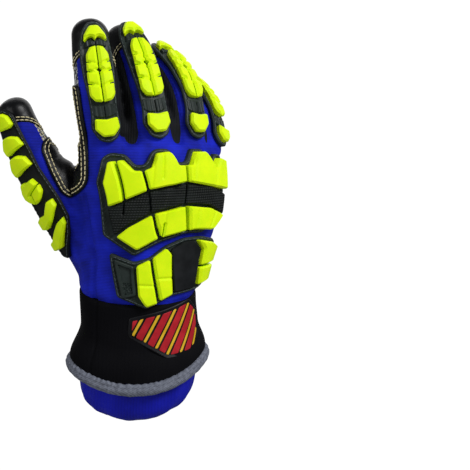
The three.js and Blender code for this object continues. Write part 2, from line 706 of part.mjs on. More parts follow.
const aboveCuffSeam = (angle) => cuffSeamAt(angle, 12) + seamGap;
const belowSeam = loft(cuffRings(even(wristHeight - 40), aboveCuffSeam, 3, 12));
const shell = handSolid(0, true).subtract(handSolid(-fabricWall, false)).subtract(belowSeam);

const digits = [...fingers, thumb];
const tips = (slack) => join(digits.map((digit) => capRegion(digit, slack)));
const slotBetween = (left, right, slack) =>
  join([
    wedge(left.limb, sideRun(left, slack), even(-28), even(38), slack, 4),
    wedge(right.limb, sideRun(right, slack), even(142), even(208), slack, 4),
    crotchRegion(left, right, slack),
  ]);
const slots = (slack) =>
  join([
    slotBetween(indexFinger, middleFinger, slack),
    slotBetween(middleFinger, ringFinger, slack),
    slotBetween(ringFinger, littleFinger, slack),
  ]);

// A cut can leave a crumb beside the piece, so only the largest body is kept
const largest = (solid) =>
  solid.decompose().reduce((kept, other) => (other.volume() > kept.volume() ? other : kept));
for (const digit of digits) {
  node(`${digit.name}_cap`, largest(shell.intersect(capRegion(digit, 0))), colours.blackLeather);
}
const belowCaps = shell.subtract(tips(seamGap));
for (const [left, right] of [
  [indexFinger, middleFinger],
  [middleFinger, ringFinger],
  [ringFinger, littleFinger],
]) {
  const slot = belowCaps.intersect(slotBetween(left, right, 0));
  node(`${left.name}_${right.name}_slot`, slot, colours.blackLeather);
}
const panels = belowCaps.subtract(slots(seamGap));
node("back_panel", panels.intersect(backRegion(0)), colours.blueKnit);
node("palm_panel", panels.subtract(backRegion(seamGap)), colours.greyKnit);

// Cuff, piping and inner cuff
const cuffOutside = loft(cuffRings(hemAt, cuffSeamAt, 3, 0));
const belowHem = (angle) => hemAt(angle) - 4;
const overSeam = (angle) => cuffSeamAt(angle, -neopreneWall) + 4;
const cuffInside = loft(cuffRings(belowHem, overSeam, 2, -neopreneWall));
node("cuff", cuffOutside.subtract(cuffInside), colours.neoprene);

const pipingSides = 6;
const pipingRings = Array.from({ length: bodySides }, (_, j) => {
  const angle = turnOf(j, bodySides);
  const z = hemAt(angle) - seamGap - pipingDiameter * 0.6;
  const outer = surfacePoint(body, hemHeight, angle, -neopreneWall / 2).setZ(z);
  const outward = surfacePoint(body, hemHeight, angle, 4).setZ(z).sub(outer).normalize();
  return Array.from({ length: pipingSides }, (_, k) => {
    const turn = turnOf(k, pipingSides);
    return outer
      .clone()
      .addScaledVector(outward, Math.cos(turn) * pipingDiameter * 0.5 + pipingOut)
      .add(new THREE.Vector3(0, 0, Math.sin(turn) * pipingDiameter * 0.6));
  });
});
node("piping", loft(pipingRings, true), colours.greyPiping);

const innerCuffSides = 18;
// Inner cuff rows: down from its hidden top (0 at the hem, 1 at the mouth) and the share of its size
const innerCuffRows = [
  { down: -0.42, size: 0.9 },
  { down: 0.15, size: 0.965 },
  { down: 0.6, size: 0.93 },
  { down: 0.86, size: 0.82 },
  { down: 1, size: 0.64 },
];
function innerCuffSolid(grow, overrun) {
  const rings = innerCuffRows.map((row, i) =>
    Array.from({ length: innerCuffSides }, (_, j) => {
      const angle = turnOf(j, innerCuffSides);
      const end = i === innerCuffRows.length - 1 ? -overrun : 0;
      const start = i === 0 ? overrun : 0;
      const z = mix(hemAt(angle) - 6, 0, row.down) + end + start;
      const x = power(Math.cos(angle), 2 / 2.15) * ((hemBreadth / 2 - 4) * row.size + grow);
      const y = power(Math.sin(angle), 2 / 2.15) * ((hemDepth / 2 - 4) * row.size + grow);
      return new THREE.Vector3(x - innerCuffDrift * Math.max(0, row.down), -y, z);
    }),
  );
  return loft(rings);
}
node("inner_cuff", innerCuffSolid(0, 0).subtract(innerCuffSolid(-innerCuffWall, 2)), colours.blueKnit);

// Plates that lie on a limb: a flat outline raised to its thickness, finely divided, then laid round
function inset(points, distance) {
  const area = THREE.ShapeUtils.area(points);
  const way = Math.sign(area) * distance;
  return points.map((p, i) => {
    const before = points[(i + points.length - 1) % points.length];
    const after = points[(i + 1) % points.length];
    const a = p.clone().sub(before).normalize();
    const b = after.clone().sub(p).normalize();
    const normal = new THREE.Vector2(-(a.y + b.y), a.x + b.x).normalize();
    const reach = Math.max(0.5, normal.dot(new THREE.Vector2(-a.y, a.x)));
    return p.clone().addScaledVector(normal, way / reach);
  });
}

// A flat slab between two copies of an outline, the upper one drawn in by the chamfer
function slab(outline, low, high, chamfer, toPoint) {
  const points = outline.map(([x, y]) => new THREE.Vector2(x, y));
  if (THREE.ShapeUtils.area(points) < 0) points.reverse();
  const top = chamfer > 0 ? inset(points, chamfer) : points;
  const count = points.length;
  const positions = [];
  for (const p of points) positions.push(...toPoint(p.x, p.y, low));
  for (const p of top) positions.push(...toPoint(p.x, p.y, high));
  const triangles = [];
  // Points in a straight row are moved a hair here, so that the triangles keep them all
  const eased = points.map(
    (p, i) => new THREE.Vector2(p.x + 0.004 * Math.sin(7 * i), p.y + 0.004 * Math.cos(5 * i)),
  );
  for (const [a, b, c] of THREE.ShapeUtils.triangulateShape(eased, [])) {
    const forward = THREE.ShapeUtils.area([eased[a], eased[b], eased[c]]) > 0;
    const [d, e] = forward ? [b, c] : [c, b];
    triangles.push(a + count, d + count, e + count, e, d, a);
  }
  for (let i = 0; i < count; i += 1) {
    const next = (i + 1) % count;
    triangles.push(i, next, i + count, next, next + count, i + count);
  }
  return facingOut(positions, triangles);
}

const lengthwise = 0.5;
function plate(limb, outline, low, high, edge, chamfer = 0, lift = () => 0) {
  const mesh = slab(outline, low, high, chamfer, (x, y, z) => [x, y, z]).getMesh();
  let geometry = new THREE.BufferGeometry();
  const flatPositions = new Float32Array(mesh.vertProperties);
  geometry.setAttribute("position", new THREE.BufferAttribute(flatPositions, 3));
  geometry.setIndex(new THREE.BufferAttribute(mesh.triVerts, 1));
  geometry.scale(1, lengthwise, 1);
  geometry = new TessellateModifier(edge, 14).modify(geometry.toNonIndexed());
  geometry = mergeVertices(geometry.scale(1, 1 / lengthwise, 1), 1e-3);
  const at = geometry.getAttribute("position");
  const laid = [];
  for (let i = 0; i < at.count; i += 1) {
    const p = platePoint(limb, at.getX(i), at.getY(i), at.getZ(i) + lift(at.getY(i)));
    laid.push(p.x, p.y, p.z);
  }
  return facingOut(laid, Array.from(geometry.getIndex().array));
}

function guard(prefix, limb, outlines, sizes, edge, rise) {
  for (const [name, shares] of Object.entries(outlines)) {
    const outline = shares.map(([x, y]) => [
      mix(sizes.aside[0], sizes.aside[1], y) + x * sizes.halfBreadth,
      sizes.start + y * sizes.length,
    ]);
    const low = seatGap;
    const top = low + guardThickness;
    if (name === "base") {
      node(`${prefix}_base`, plate(limb, outline, low, top, edge), colours.blackRubber);
    } else {
      const dark = name.includes("panel") || name === "band";
      const seat = top + stackGap;
      const made = plate(limb, outline, seat, seat + (dark ? rise * 0.5 : rise), edge, padChamfer);
      node(`${prefix}_${name}`, made, dark ? colours.blackRubber : colours.brightRubber);
    }
  }
}
const digitGuard = ({ guard: shares, length, breadth }) => ({
  start: shares.start * length,
  length: shares.length * length,
  halfBreadth: (shares.breadth * breadth) / 2,
  aside: shares.aside.map((share) => share * breadth),
});
for (const finger of fingers) {
  const sizes = digitGuard(finger);
  const edge = guardEdges.finger;
  guard(`${finger.name}_guard`, finger.limb, fingerGuardOutlines, sizes, edge, padThickness);
}
const thumbSizes = digitGuard(thumb);
guard("thumb_guard", thumb.limb, thumbGuardOutlines, thumbSizes, guardEdges.thumb, padThickness);
const backSizes = {
  start: wristHeight,
  length: knuckleHeight - wristHeight,
  halfBreadth: palmBreadth / 2,
  aside: [0, 0],
};
const { knuckle: knuckleEdge, wrist: wristEdge } = guardEdges;
guard("knuckle_guard", body, knuckleGuardOutlines, backSizes, knuckleEdge, knucklePadThickness);
guard("wrist_guard", body, wristGuardOutlines, backSizes, wristEdge, padThickness);

const tabLift = (s) =>
  tabRise * THREE.MathUtils.smoothstep(hemHeight + 34 - s, 0, 22) +
  tabTopRise * THREE.MathUtils.smoothstep(s - wristHeight, -6, 12);
const onCuff = (outline) => outline.map(([x, y]) => [(x * wristBreadth) / 2, y * wristHeight]);
const tabSolid = plate(body, onCuff(pullTabOutline), seatGap, seatGap + tabThickness, 16, 0, tabLift);
node("pull_tab", tabSolid, colours.brightRubber);
const badgeSolid = plate(body, onCuff(badgeOutline), seatGap + 0.1, seatGap + 0.9, 14);
node("cuff_badge", badgeSolid, colours.redPrint);

// Leather patches: a skin over the hand, kept inside outlines seen from the back and from the palm
const skin = handSolid(patchWall + seamGap, true).subtract(handSolid(seamGap, true));
const onHand = (outline) =>
  outline.map(([x, y]) => [(x * palmBreadth) / 2, mix(wristHeight, knuckleHeight, y)]);
const prism = (outline, fromDepth, toDepth) =>
  slab(onHand(outline), fromDepth, toDepth, 0, (x, y, z) => [x, z, y]);
node("palm_patch", skin.intersect(prism(palmPatchOutline, 3, 60)), colours.blackLeather);
const nearIndex = limbLoft(indexFinger.limb, spread(1, indexFinger.length, 5), digitSides, 2.5);
node(
  "index_side_patch",
  skin.intersect(nearIndex).intersect(prism(indexSideOutline, -9, 40)),
  colours.blackLeather,
);
node("saddle_patch", skin.intersect(prism(saddleFromBack, -60, saddleSplit)), colours.blackLeather);
const nearThumb = limbLoft(thumb.limb, spread(20, thumb.length, 6), digitSides, 2.5);
node(
  "thumb_patch",
  skin.intersect(nearThumb).intersect(prism(saddleFromPalm, saddleSplit + seamGap, 60)),
  colours.blackLeather,
);

export default group;
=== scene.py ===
# %% [markdown]
# # A work glove with moulded guards
# This lesson dresses the plain solids of a right-hand impact glove. The real glove is cut and sewn from
# knit, leather and neoprene, and the rubber guards are moulded flat and then sewn round the hand.
# The script follows the maker: one hand form, cut into panels, then guards, patches, cuff and thread.
# Lengths are in millimetres until a mesh is made, because that is how a glove pattern is drawn.

# %% The frame that everything sits in
import math
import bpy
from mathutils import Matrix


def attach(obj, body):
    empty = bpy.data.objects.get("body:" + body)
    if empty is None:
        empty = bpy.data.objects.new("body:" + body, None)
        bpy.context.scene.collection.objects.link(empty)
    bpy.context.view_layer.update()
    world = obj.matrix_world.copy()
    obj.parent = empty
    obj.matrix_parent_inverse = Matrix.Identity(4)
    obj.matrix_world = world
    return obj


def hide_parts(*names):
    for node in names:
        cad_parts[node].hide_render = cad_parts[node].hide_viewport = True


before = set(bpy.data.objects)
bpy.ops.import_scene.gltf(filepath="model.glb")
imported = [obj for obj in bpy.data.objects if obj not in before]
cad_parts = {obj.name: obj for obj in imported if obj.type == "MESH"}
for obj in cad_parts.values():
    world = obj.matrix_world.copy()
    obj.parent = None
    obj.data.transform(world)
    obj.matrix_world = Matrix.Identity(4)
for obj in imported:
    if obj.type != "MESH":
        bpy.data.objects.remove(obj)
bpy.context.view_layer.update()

from types import SimpleNamespace

import bpy
import numpy as np
from mathutils import Vector

MM = 0.001

# %% [markdown]
# ## The hand form
# A glove takes the shape of the hand inside it. Each finger is a bent tube that thins towards a round
# tip, and the palm is a wide tube that bends into a cup. Tables give girth and bend along each one, and
# a smooth curve runs through the rows, as a pattern cutter's curve runs through marked points.

# %% Walls and main sizes
KNIT_WALL, CAP_WALL, STRIP_WALL = 1.8, 1.4, 1.2
NEOPRENE_WALL, INNER_CUFF_WALL = 3.0, 1.6
HEM_HEIGHT, WRIST_HEIGHT, KNUCKLE_HEIGHT = 31.0, 86.0, 188.0
HEM_BREADTH, HEM_DEPTH = 94.0, 76.0
WRIST_BREADTH, WRIST_DEPTH = 81.0, 64.0
PALM_BREADTH, KNUCKLE_DEPTH = 111.0, 30.0
KNUCKLE_TURN, KNUCKLE_CUP = math.radians(22), math.radians(38)
KNUCKLE_OUT, KNUCKLE_FORWARD = 14.0, 6.0
HEM_CLIMB, HEM_TILT = 15.0, 1.5
# How far the oval of the wrist bulges towards a rectangle: 2 is an ellipse.
WRIST_SQUARE = 2.15
CUFF_SEAM_HEIGHT, CUFF_SEAM_SLOPE, CUFF_SEAM_TILT = 89.0, 0.2, 0.04
print("palm:", PALM_BREADTH, "mm broad, knuckles at", KNUCKLE_HEIGHT, "mm")

# %% Tables of girth and bend
# The palm from the wrist (0) to the knuckles (1): breadth, depth and cupping as shares.
PALM_ROWS = [
    (0, 0, 0, 0), (0.24, 0.22, 0.24, 0.22), (0.45, 0.55, 0.44, 0.5), (0.7, 0.9, 0.66, 0.85),
    (0.9, 0.98, 0.87, 1), (1, 0.93, 1, 1), (1.035, 0.86, 1.12, 1),
]
# The cuff from its hem (0) to the wrist (1): the share of the hem's extra size.
CUFF_ROWS = [(-0.35, 1.1), (0, 1), (0.2, 0.62), (0.4, 0.26), (0.65, 0.06), (1, 0)]
# Along a digit (0 to 1): breadth, depth, then the shares of the root, middle and end bends.
FINGER_ROWS = [
    (0, 1, 1.02, 1, 0, 0), (0.3, 1.03, 1, 0.6, 0.4, 0), (0.5, 1.02, 0.96, 0, 1, 0),
    (0.75, 0.95, 0.92, 0, 0.2, 0.8), (1, 0.84, 0.82, 0, 0, 1),
]
THUMB_ROWS = [
    (0, 1.1, 1.1, 1, 0, 0), (0.4, 1.06, 1.08, 0.3, 0.7, 0), (0.6, 0.95, 0.96, 0, 0.8, 0.2),
    (0.8, 0.9, 0.82, 0, 0.1, 0.9), (1, 0.79, 0.7, 0, 0, 1),
]
WEB_ROWS = [(0, 20, 10.5), (0.4, 26, 10), (0.7, 23.5, 11), (1, 21, 12)]


def table_at(rows, at):
    """Every column of a table at the places at, on a smooth curve through its rows."""
    rows = np.array(rows, float)
    key, values = rows[:, 0], rows[:, 1:]
    last = len(key) - 1
    index = np.arange(last + 1)
    before, after = np.maximum(index - 1, 0), np.minimum(index + 1, last)
    slopes = (values[after] - values[before]) / (key[after] - key[before])[:, None]
    at = np.clip(np.asarray(at, float), key[0], key[-1])
    row = np.clip(np.searchsorted(key, at, side="left") - 1, 0, last - 1)
    step = (key[row + 1] - key[row])[..., None]
    t = (at - key[row])[..., None] / step
    return (
        (2 * t**3 - 3 * t**2 + 1) * values[row]
        + (t**3 - 2 * t**2 + t) * step * slopes[row]
        + (3 * t**2 - 2 * t**3) * values[row + 1]
        + (t**3 - t**2) * step * slopes[row + 1]
    )


def signed_power(value, exponent):
    return np.sign(value) * np.abs(value) ** exponent


def bell(value, width):
    """1 where the value is 0, fading away over the width."""
    return np.exp(-((value / width) ** 2))


def unit(vectors):
    return vectors / np.maximum(np.linalg.norm(vectors, axis=1), 1e-9)[:, None]


def around(count):
    """Angles at even steps once round."""
    return np.linspace(0, 2 * np.pi, count, endpoint=False)


def smooth_step(value, low, high):
    t = np.clip((value - low) / (high - low), 0, 1)
    return t * t * (3 - 2 * t)


print("middle of the cuff flares by", table_at(CUFF_ROWS, 0.5).round(3), "of the hem's extra size")

# %% Sections of the palm and cuff
X, Y, Z = np.eye(3)


def roll_axes(roll):
    """The ways across the hand and out of its back where it is rolled by an angle."""
    return np.array([math.cos(roll), math.sin(roll), 0]), np.array([math.sin(roll), -math.cos(roll), 0])


def palm_section(height):
    """The section of the palm or cuff at a height: an oval whose middle line bends round."""
    height = np.asarray(height, float)
    up = (height - WRIST_HEIGHT) / (KNUCKLE_HEIGHT - WRIST_HEIGHT)
    low = (height - HEM_HEIGHT) / (WRIST_HEIGHT - HEM_HEIGHT)
    flare = table_at(CUFF_ROWS, low)[..., 0]
    broad, deep, bend = np.moveaxis(table_at(PALM_ROWS, up), -1, 0)
    wrist_breadth = WRIST_BREADTH + flare * (HEM_BREADTH - WRIST_BREADTH)
    wrist_depth = WRIST_DEPTH + flare * (HEM_DEPTH - WRIST_DEPTH)
    ones = np.ones_like(height)[..., None]
    middle = np.stack([KNUCKLE_OUT * bend, -KNUCKLE_FORWARD * bend, height], -1)
    return SimpleNamespace(
        middle=middle, side=X * ones, back=-Y * ones,
        wide=(wrist_breadth + broad * (PALM_BREADTH - wrist_breadth)) / 2,
        deep=(wrist_depth + deep * (KNUCKLE_DEPTH - wrist_depth)) / 2,
        turn=KNUCKLE_TURN * bend, cup=KNUCKLE_CUP * bend,
        square=WRIST_SQUARE + 0.35 * np.clip(bend, 0, 1), dome=np.ones_like(height),
    )


def bent(section, x, v, grow=0.0):
    """In-plane place of x along the bent middle line and v out towards the back."""
    half = section.wide + grow
    cup = np.where(np.abs(section.cup) < 1e-4, 1e-4, section.cup)
    turn = section.turn + cup * x / half
    along = half * (np.sin(turn) - np.sin(section.turn)) / cup
    rise = half * (np.cos(turn) - np.cos(section.turn)) / cup
    return along + np.sin(turn) * v, rise + np.cos(turn) * v


def surface_point(limb, s, angle, grow=0.0):
    """A point of a limb's surface at s along it and an angle round it, lifted by grow."""
    s, angle = np.broadcast_arrays(np.asarray(s, float), np.asarray(angle, float))
    section = limb.section(s, grow)
    x = signed_power(np.cos(angle), 2 / section.square) * (section.wide + grow)
    v = signed_power(np.sin(angle), 2 / section.square) * (section.deep + grow)
    a, b = bent(section, x, v, grow)
    return (
        section.middle
        + section.side * (a * section.dome)[..., None]
        + section.back * (b * section.dome)[..., None]
    )


palm = SimpleNamespace(name="palm", section=lambda s, grow=0.0: palm_section(s))


def palm_middle(across, height):
    """A point of the palm's middle surface and the way that its back faces there."""
    section = palm_section(height)
    a, b = bent(section, across * section.wide, 0.0)
    point = section.middle + section.side * a + section.back * b
    return point, section.turn + section.cup * across


print("middle of the knuckles:", palm_middle(0.0, KNUCKLE_HEIGHT)[0].round(1), "mm")

# %% Fingers and thumb
def digit_limb(size, rows, start, roll, root):
    """A bent tube that starts inside the palm and ends in a round tip."""
    steps = 60
    total = root + size.length
    tip = size.depth * rows[-1][2] / 2
    lean = math.radians(size.lean)
    across, outward = roll_axes(roll)
    up = Z * math.cos(lean) + across * math.sin(lean)
    side = across * math.cos(lean) - Z * math.sin(lean)

    def bend_at(along):
        return np.radians(table_at(rows, along)[..., 2:5] @ np.array(size.bend, float))

    middle_steps = (np.arange(steps) + 0.5) / steps * total / size.length - root / size.length
    bends = bend_at(middle_steps)[:, None]
    moves = (np.cos(bends) * up - np.sin(bends) * outward) * total / steps
    middles = np.vstack([start, start + np.cumsum(moves, 0)])

    def section(s, grow=0.0):
        s = np.asarray(s, float)
        place = np.clip((s + root) / total * steps, 0, steps)
        low = np.minimum(place.astype(int), steps - 1)
        along = s / size.length
        bend = bend_at(along)[..., None]
        axis = np.cos(bend) * up - np.sin(bend) * outward
        share = (place - low)[..., None]
        beyond = (np.maximum(0, s - size.length) + np.minimum(0, s + root))[..., None]
        girth = table_at(rows, along)
        closing = np.clip((s - (size.length - tip)) / (tip + grow), 0, 1)
        flat = np.zeros_like(s)
        return SimpleNamespace(
            middle=middles[low] * (1 - share) + middles[low + 1] * share + axis * beyond,
            side=side * np.ones_like(s)[..., None],
            back=np.cos(bend) * outward + np.sin(bend) * up, axis=axis,
            wide=size.breadth / 2 * girth[..., 0], deep=size.depth / 2 * girth[..., 1],
            turn=flat, cup=flat, square=flat + 2.3, dome=np.sqrt(1 - closing**2.3),
        )

    return SimpleNamespace(
        name=size.name, size=size, section=section, length=size.length, root=-root, tip=tip,
        start=start, up=up, outward=outward,
    )


FINGER_ROOT = 7.0
# Where the middle and end joints of a digit fold, as shares of its length.
JOINTS = (0.34, 0.66)
# Name, place across the palm, length, breadth, depth, lean, bends of root, middle and end in degrees,
# cap seam (on the back, on the palm and its slant) and guard (start, length, breadth, shift at its root
# and tip), the last two as shares of the digit.
SIZE_NAMES = ("name", "across", "length", "breadth", "depth", "lean", "bend", "cap", "guard")
FINGERS = [
    ("index", -0.63, 86, 28.4, 28, -7, (-2, 10, 14), (0.686, 0.512, 0), (0.035, 0.884, 0.69, 0.11, 0.09)),
    ("middle", -0.05, 93, 29, 28, -5.5, (8, 24, 46), (0.71, 0.624, 0), (0.035, 0.883, 0.69, 0.01, 0.017)),
    ("ring", 0.43, 88, 27.6, 27, 4, (7, 40, 65), (0.727, 0.682, 0), (0.035, 0.88, 0.68, -0.05, 0.05)),
    ("little", 0.845, 70, 25.5, 25, 16.5, (14, 44, 66), (0.72, 0.69, 0), (-0.05, 0.92, 0.67, 0, 0)),
]
digits = []
for row in FINGERS:
    size = SimpleNamespace(**dict(zip(SIZE_NAMES, row)))
    start, _ = palm_middle(size.across, KNUCKLE_HEIGHT - FINGER_ROOT)
    _, roll = palm_middle(size.across, KNUCKLE_HEIGHT)
    digits.append(digit_limb(size, FINGER_ROWS, start, float(roll), FINGER_ROOT))

THUMB = (
    "thumb", -0.5, 142, 33, 31, -12, (-22, -32, -18), (0.845, 0.76, 0.056),
    (0.183, 0.754, 0.788, 0.121, 0.215),
)
THUMB_HEIGHT, THUMB_TO_PALM, THUMB_ROLL, THUMB_FOOT = 94.0, 7.0, math.radians(-65), 0.042
thumb_size = SimpleNamespace(**dict(zip(SIZE_NAMES, THUMB)))
thumb_start = palm_middle(thumb_size.across, THUMB_HEIGHT)[0] + THUMB_TO_PALM * Y
thumb = digit_limb(thumb_size, THUMB_ROWS, thumb_start, THUMB_ROLL, 0.0)
thumb.root = THUMB_FOOT * thumb.length
FORKS = list(zip(digits, digits[1:]))
digits.append(thumb)
limbs = {limb.name: limb for limb in digits}

# The web of skin between thumb and palm is a tall flat limb from one to the other.
WEB_THUMB_SHARE, WEB_ACROSS, WEB_HEIGHT = 0.5, -0.42, 131.0
web_from = thumb.section(WEB_THUMB_SHARE * thumb.length).middle
web_to = palm_middle(WEB_ACROSS, WEB_HEIGHT)[0]
web_reach = float(np.linalg.norm(web_to - web_from))
web_axis = (web_to - web_from) / web_reach
web_back = -Y + web_axis * web_axis[1]
web_back = web_back / np.linalg.norm(web_back)
web_side = np.cross(web_axis, web_back)


def web_section(along, grow=0.0):
    along = np.asarray(along, float)
    ones = np.ones_like(along)
    girth = table_at(WEB_ROWS, along)
    return SimpleNamespace(
        middle=web_from + (web_to - web_from) * along[..., None],
        side=web_side * ones[..., None], back=web_back * ones[..., None],
        wide=girth[..., 0], deep=girth[..., 1],
        turn=0 * ones, cup=0 * ones, square=2.4 * ones, dome=ones,
    )


web = SimpleNamespace(name="web", section=web_section)
print("limbs:", ", ".join(limbs), "and the web")

# %% [markdown]
# ## One smooth hand
# Lofting each tube alone would leave hard creases between the fingers. The tubes are joined, turned
# into small voxels and relaxed, which rounds the crotches as stretched cloth does. Numpy then holds
# the points, because the panels are cut by exact lines that Blender's sculpting tools don't know.

# %% Meshes from rings of points
def ring_mesh(rings, closed=False):
    """Points and triangles of a tube through rings, capped at both ends unless it is closed."""
    rings = np.asarray(rings, float)
    count, sides = rings.shape[:2]
    points = rings.reshape(-1, 3)
    j = np.arange(sides)
    following = (j + 1) % sides
    faces = []
    for i in range(count if closed else count - 1):
        low, high = i * sides, (i + 1) % count * sides
        faces.append(np.stack([low + j, low + following, high + j], 1))
        faces.append(np.stack([low + following, high + following, high + j], 1))
    if not closed:
        ends = np.array([rings[0].mean(0), rings[-1].mean(0)])
        points = np.vstack([points, ends])
        last = (count - 1) * sides
        faces.append(np.stack([following, j, 0 * j + len(points) - 2], 1))
        faces.append(np.stack([last + j, last + following, 0 * j + len(points) - 1], 1))
    return points, np.vstack(faces)


def blender_mesh(name, points, faces):
    mesh = bpy.data.meshes.new(name)
    mesh.from_pydata((np.asarray(points) * MM).tolist(), [], np.asarray(faces).tolist())
    mesh.update()
    return mesh


def mesh_arrays(mesh):
    """The points in millimetres and the triangles of a Blender mesh."""
    points = np.zeros(len(mesh.vertices) * 3)
    mesh.vertices.foreach_get("co", points)
    mesh.calc_loop_triangles()
    faces = np.zeros(len(mesh.loop_triangles) * 3, int)
    mesh.loop_triangles.foreach_get("vertices", faces)
    return points.reshape(-1, 3) / MM, faces.reshape(-1, 3)


def directed_edges(faces):
    return np.vstack([faces[:, [0, 1]], faces[:, [1, 2]], faces[:, [2, 0]]])


def edges_of(faces):
    return np.unique(np.sort(directed_edges(faces), 1), axis=0)


def relaxed(points, faces, rounds, weight=1.0):
    """Moves each point towards the mean of its neighbours, more where its weight is larger."""
    edges = edges_of(faces)
    count = np.bincount(edges.ravel(), minlength=len(points))[:, None]
    weight = np.broadcast_to(np.asarray(weight, float), len(points))[:, None]
    for _ in range(rounds):
        total = np.zeros_like(points)
        for k in range(3):
            for here, there in (edges.T, edges.T[::-1]):
                total[:, k] += np.bincount(here, points[there, k], len(points))
        points = points + weight * 0.5 * (total / count - points)
    return points


def normals_of(points, faces):
    corners = points[faces]
    face = np.cross(corners[:, 1] - corners[:, 0], corners[:, 2] - corners[:, 0])
    normal = np.zeros_like(points)
    for k in range(3):
        for axis in range(3):
            normal[:, axis] += np.bincount(faces[:, k], face[:, axis], len(points))
    return unit(normal)


# %% Tubes, voxels and a relaxed skin
HAND_FOOT = 62.0
VOXEL = 1.1


def limb_tube(limb, places, sides=72):
    return ring_mesh([surface_point(limb, s, around(sides)) for s in places])


def digit_places(limb):
    dome = limb.length - limb.tip
    closing = dome + limb.tip * np.sin(np.pi / 2 * np.linspace(0.04, 0.985, 16))
    return np.concatenate([np.linspace(limb.root, dome, 50), closing])


def fork_frame(left, right, above_knuckles):
    """The middle of the fork between two fingers at a height, and the ways across and out there."""
    across = (left.size.across + right.size.across) / 2
    middle, roll = palm_middle(across, KNUCKLE_HEIGHT + above_knuckles)
    return middle, *roll_axes(roll)


hand_top = KNUCKLE_HEIGHT + 0.035 * (KNUCKLE_HEIGHT - WRIST_HEIGHT)
tubes = [limb_tube(palm, np.linspace(HAND_FOOT, hand_top - 2.5, 60), 120)]
tubes += [limb_tube(limb, digit_places(limb)) for limb in digits]
tubes.append(limb_tube(web, np.linspace(0, 1, 12)))
# A pad of cloth closes the fork between each two fingers, higher than the tubes alone would meet.
FILL_ABOVE, FILL_TALL, FILL_WIDE, FILL_DEEP = 4, 13, 6.0, 8.0
turn = around(24)
for left, right in FORKS:
    middle, across, out = fork_frame(left, right, FILL_ABOVE)
    oval = FILL_WIDE * np.outer(np.cos(turn), across) + FILL_DEEP * np.outer(np.sin(turn), out)
    tubes.append(ring_mesh([
        middle + Z * FILL_TALL * math.sin(t) + math.cos(t) * oval for t in np.linspace(-1.45, 1.45, 12)
    ]))
offsets = np.cumsum([0] + [len(points) for points, _ in tubes])
all_points = np.vstack([points for points, _ in tubes])
all_faces = np.vstack([faces + start for (_, faces), start in zip(tubes, offsets)])
rough = bpy.data.objects.new("rough_hand", blender_mesh("rough_hand", all_points, all_faces))
bpy.context.scene.collection.objects.link(rough)
voxels = rough.modifiers.new("voxels", "REMESH")
voxels.mode = "VOXEL"
voxels.voxel_size = VOXEL * MM
graph = bpy.context.evaluated_depsgraph_get()
hand_points, hand_faces = mesh_arrays(rough.evaluated_get(graph).to_mesh())
bpy.data.objects.remove(rough)
print("hand skin:", len(hand_points), "points")

# The palm's top and the roots of the fingers are relaxed longest, and the rest just enough.
ROOTS_LOW, ROOTS_HIGH, ROOTS_FADE = 168, 216, 16
THUMB_FORK_HEIGHT, THUMB_FORK_REACH = 132, 24
ROUNDS_EVERYWHERE, ROUNDS_AT_ROOTS = 6, 34
near_roots = smooth_step(hand_points[:, 2], ROOTS_LOW, ROOTS_LOW + ROOTS_FADE)
near_roots = near_roots * (1 - smooth_step(hand_points[:, 2], ROOTS_HIGH - ROOTS_FADE, ROOTS_HIGH))
from_fork = np.linalg.norm(hand_points - surface_point(palm, THUMB_FORK_HEIGHT, np.pi), axis=1)
near_roots = np.maximum(near_roots, bell(from_fork, THUMB_FORK_REACH))
hand_points = relaxed(hand_points, hand_faces, ROUNDS_EVERYWHERE)
hand_points = relaxed(hand_points, hand_faces, ROUNDS_AT_ROOTS, near_roots)
# The worn fork pulls the side of the palm in below the first finger, so the fork ends in a narrow V.
FORK_PULL, FORK_PULL_HEIGHT, FORK_PULL_REACH = 4.5, 181.0, 9.0
PULL_INNER_X, PULL_OUTER_X = -36, -47
pulled = bell(hand_points[:, 2] - FORK_PULL_HEIGHT, FORK_PULL_REACH)
pulled *= smooth_step(PULL_INNER_X - hand_points[:, 0], 0, 5)
pulled *= 1 - smooth_step(PULL_OUTER_X - hand_points[:, 0], 0, 4)
hand_points[:, 0] += FORK_PULL * pulled

# %% [markdown]
# ## Where each panel lies
# A pattern piece is an area of the hand: the blue back, the grey palm, black strips between fingers
# and a leather cap on each tip. Every point of the skin is given its place along and round each limb,
# and from that a signed distance to each seam. A seam is then simply where that distance is zero.

# %% Places along and round the limbs
CHUNK = 20000
PLACE_NAMES = ("s", "angle", "outside", "radius")


def place_on_digit(limb, points):
    """Distance along a digit, its section there, and the two places in that section."""
    s = np.arange(limb.root - 20, limb.length + 14, 1.0)
    section = limb.section(s)
    flat = np.stack([(points - limb.start) @ limb.up, (points - limb.start) @ limb.outward], 1)
    line = np.stack(
        [(section.middle - limb.start) @ limb.up, (section.middle - limb.start) @ limb.outward], 1
    )
    nearest = np.empty(len(points), int)
    for start in range(0, len(points), CHUNK):
        part = flat[start:start + CHUNK, None] - line[None]
        nearest[start:start + CHUNK] = (part**2).sum(2).argmin(1)
    along = s[nearest] + ((points - section.middle[nearest]) * section.axis[nearest]).sum(1)
    section = limb.section(along)
    off = points - section.middle
    return along, section, (off * section.side).sum(1), (off * section.back).sum(1)


def round_place(section, x, v):
    """The angle round an oval section and how far outside it, as a share of its radius."""
    n = section.square
    far, out = np.abs(x / section.wide) ** (n / 2), np.abs(v / section.deep) ** (n / 2)
    return np.arctan2(np.sign(v) * out, np.sign(x) * far), np.hypot(far, out) ** (2 / n) - 1


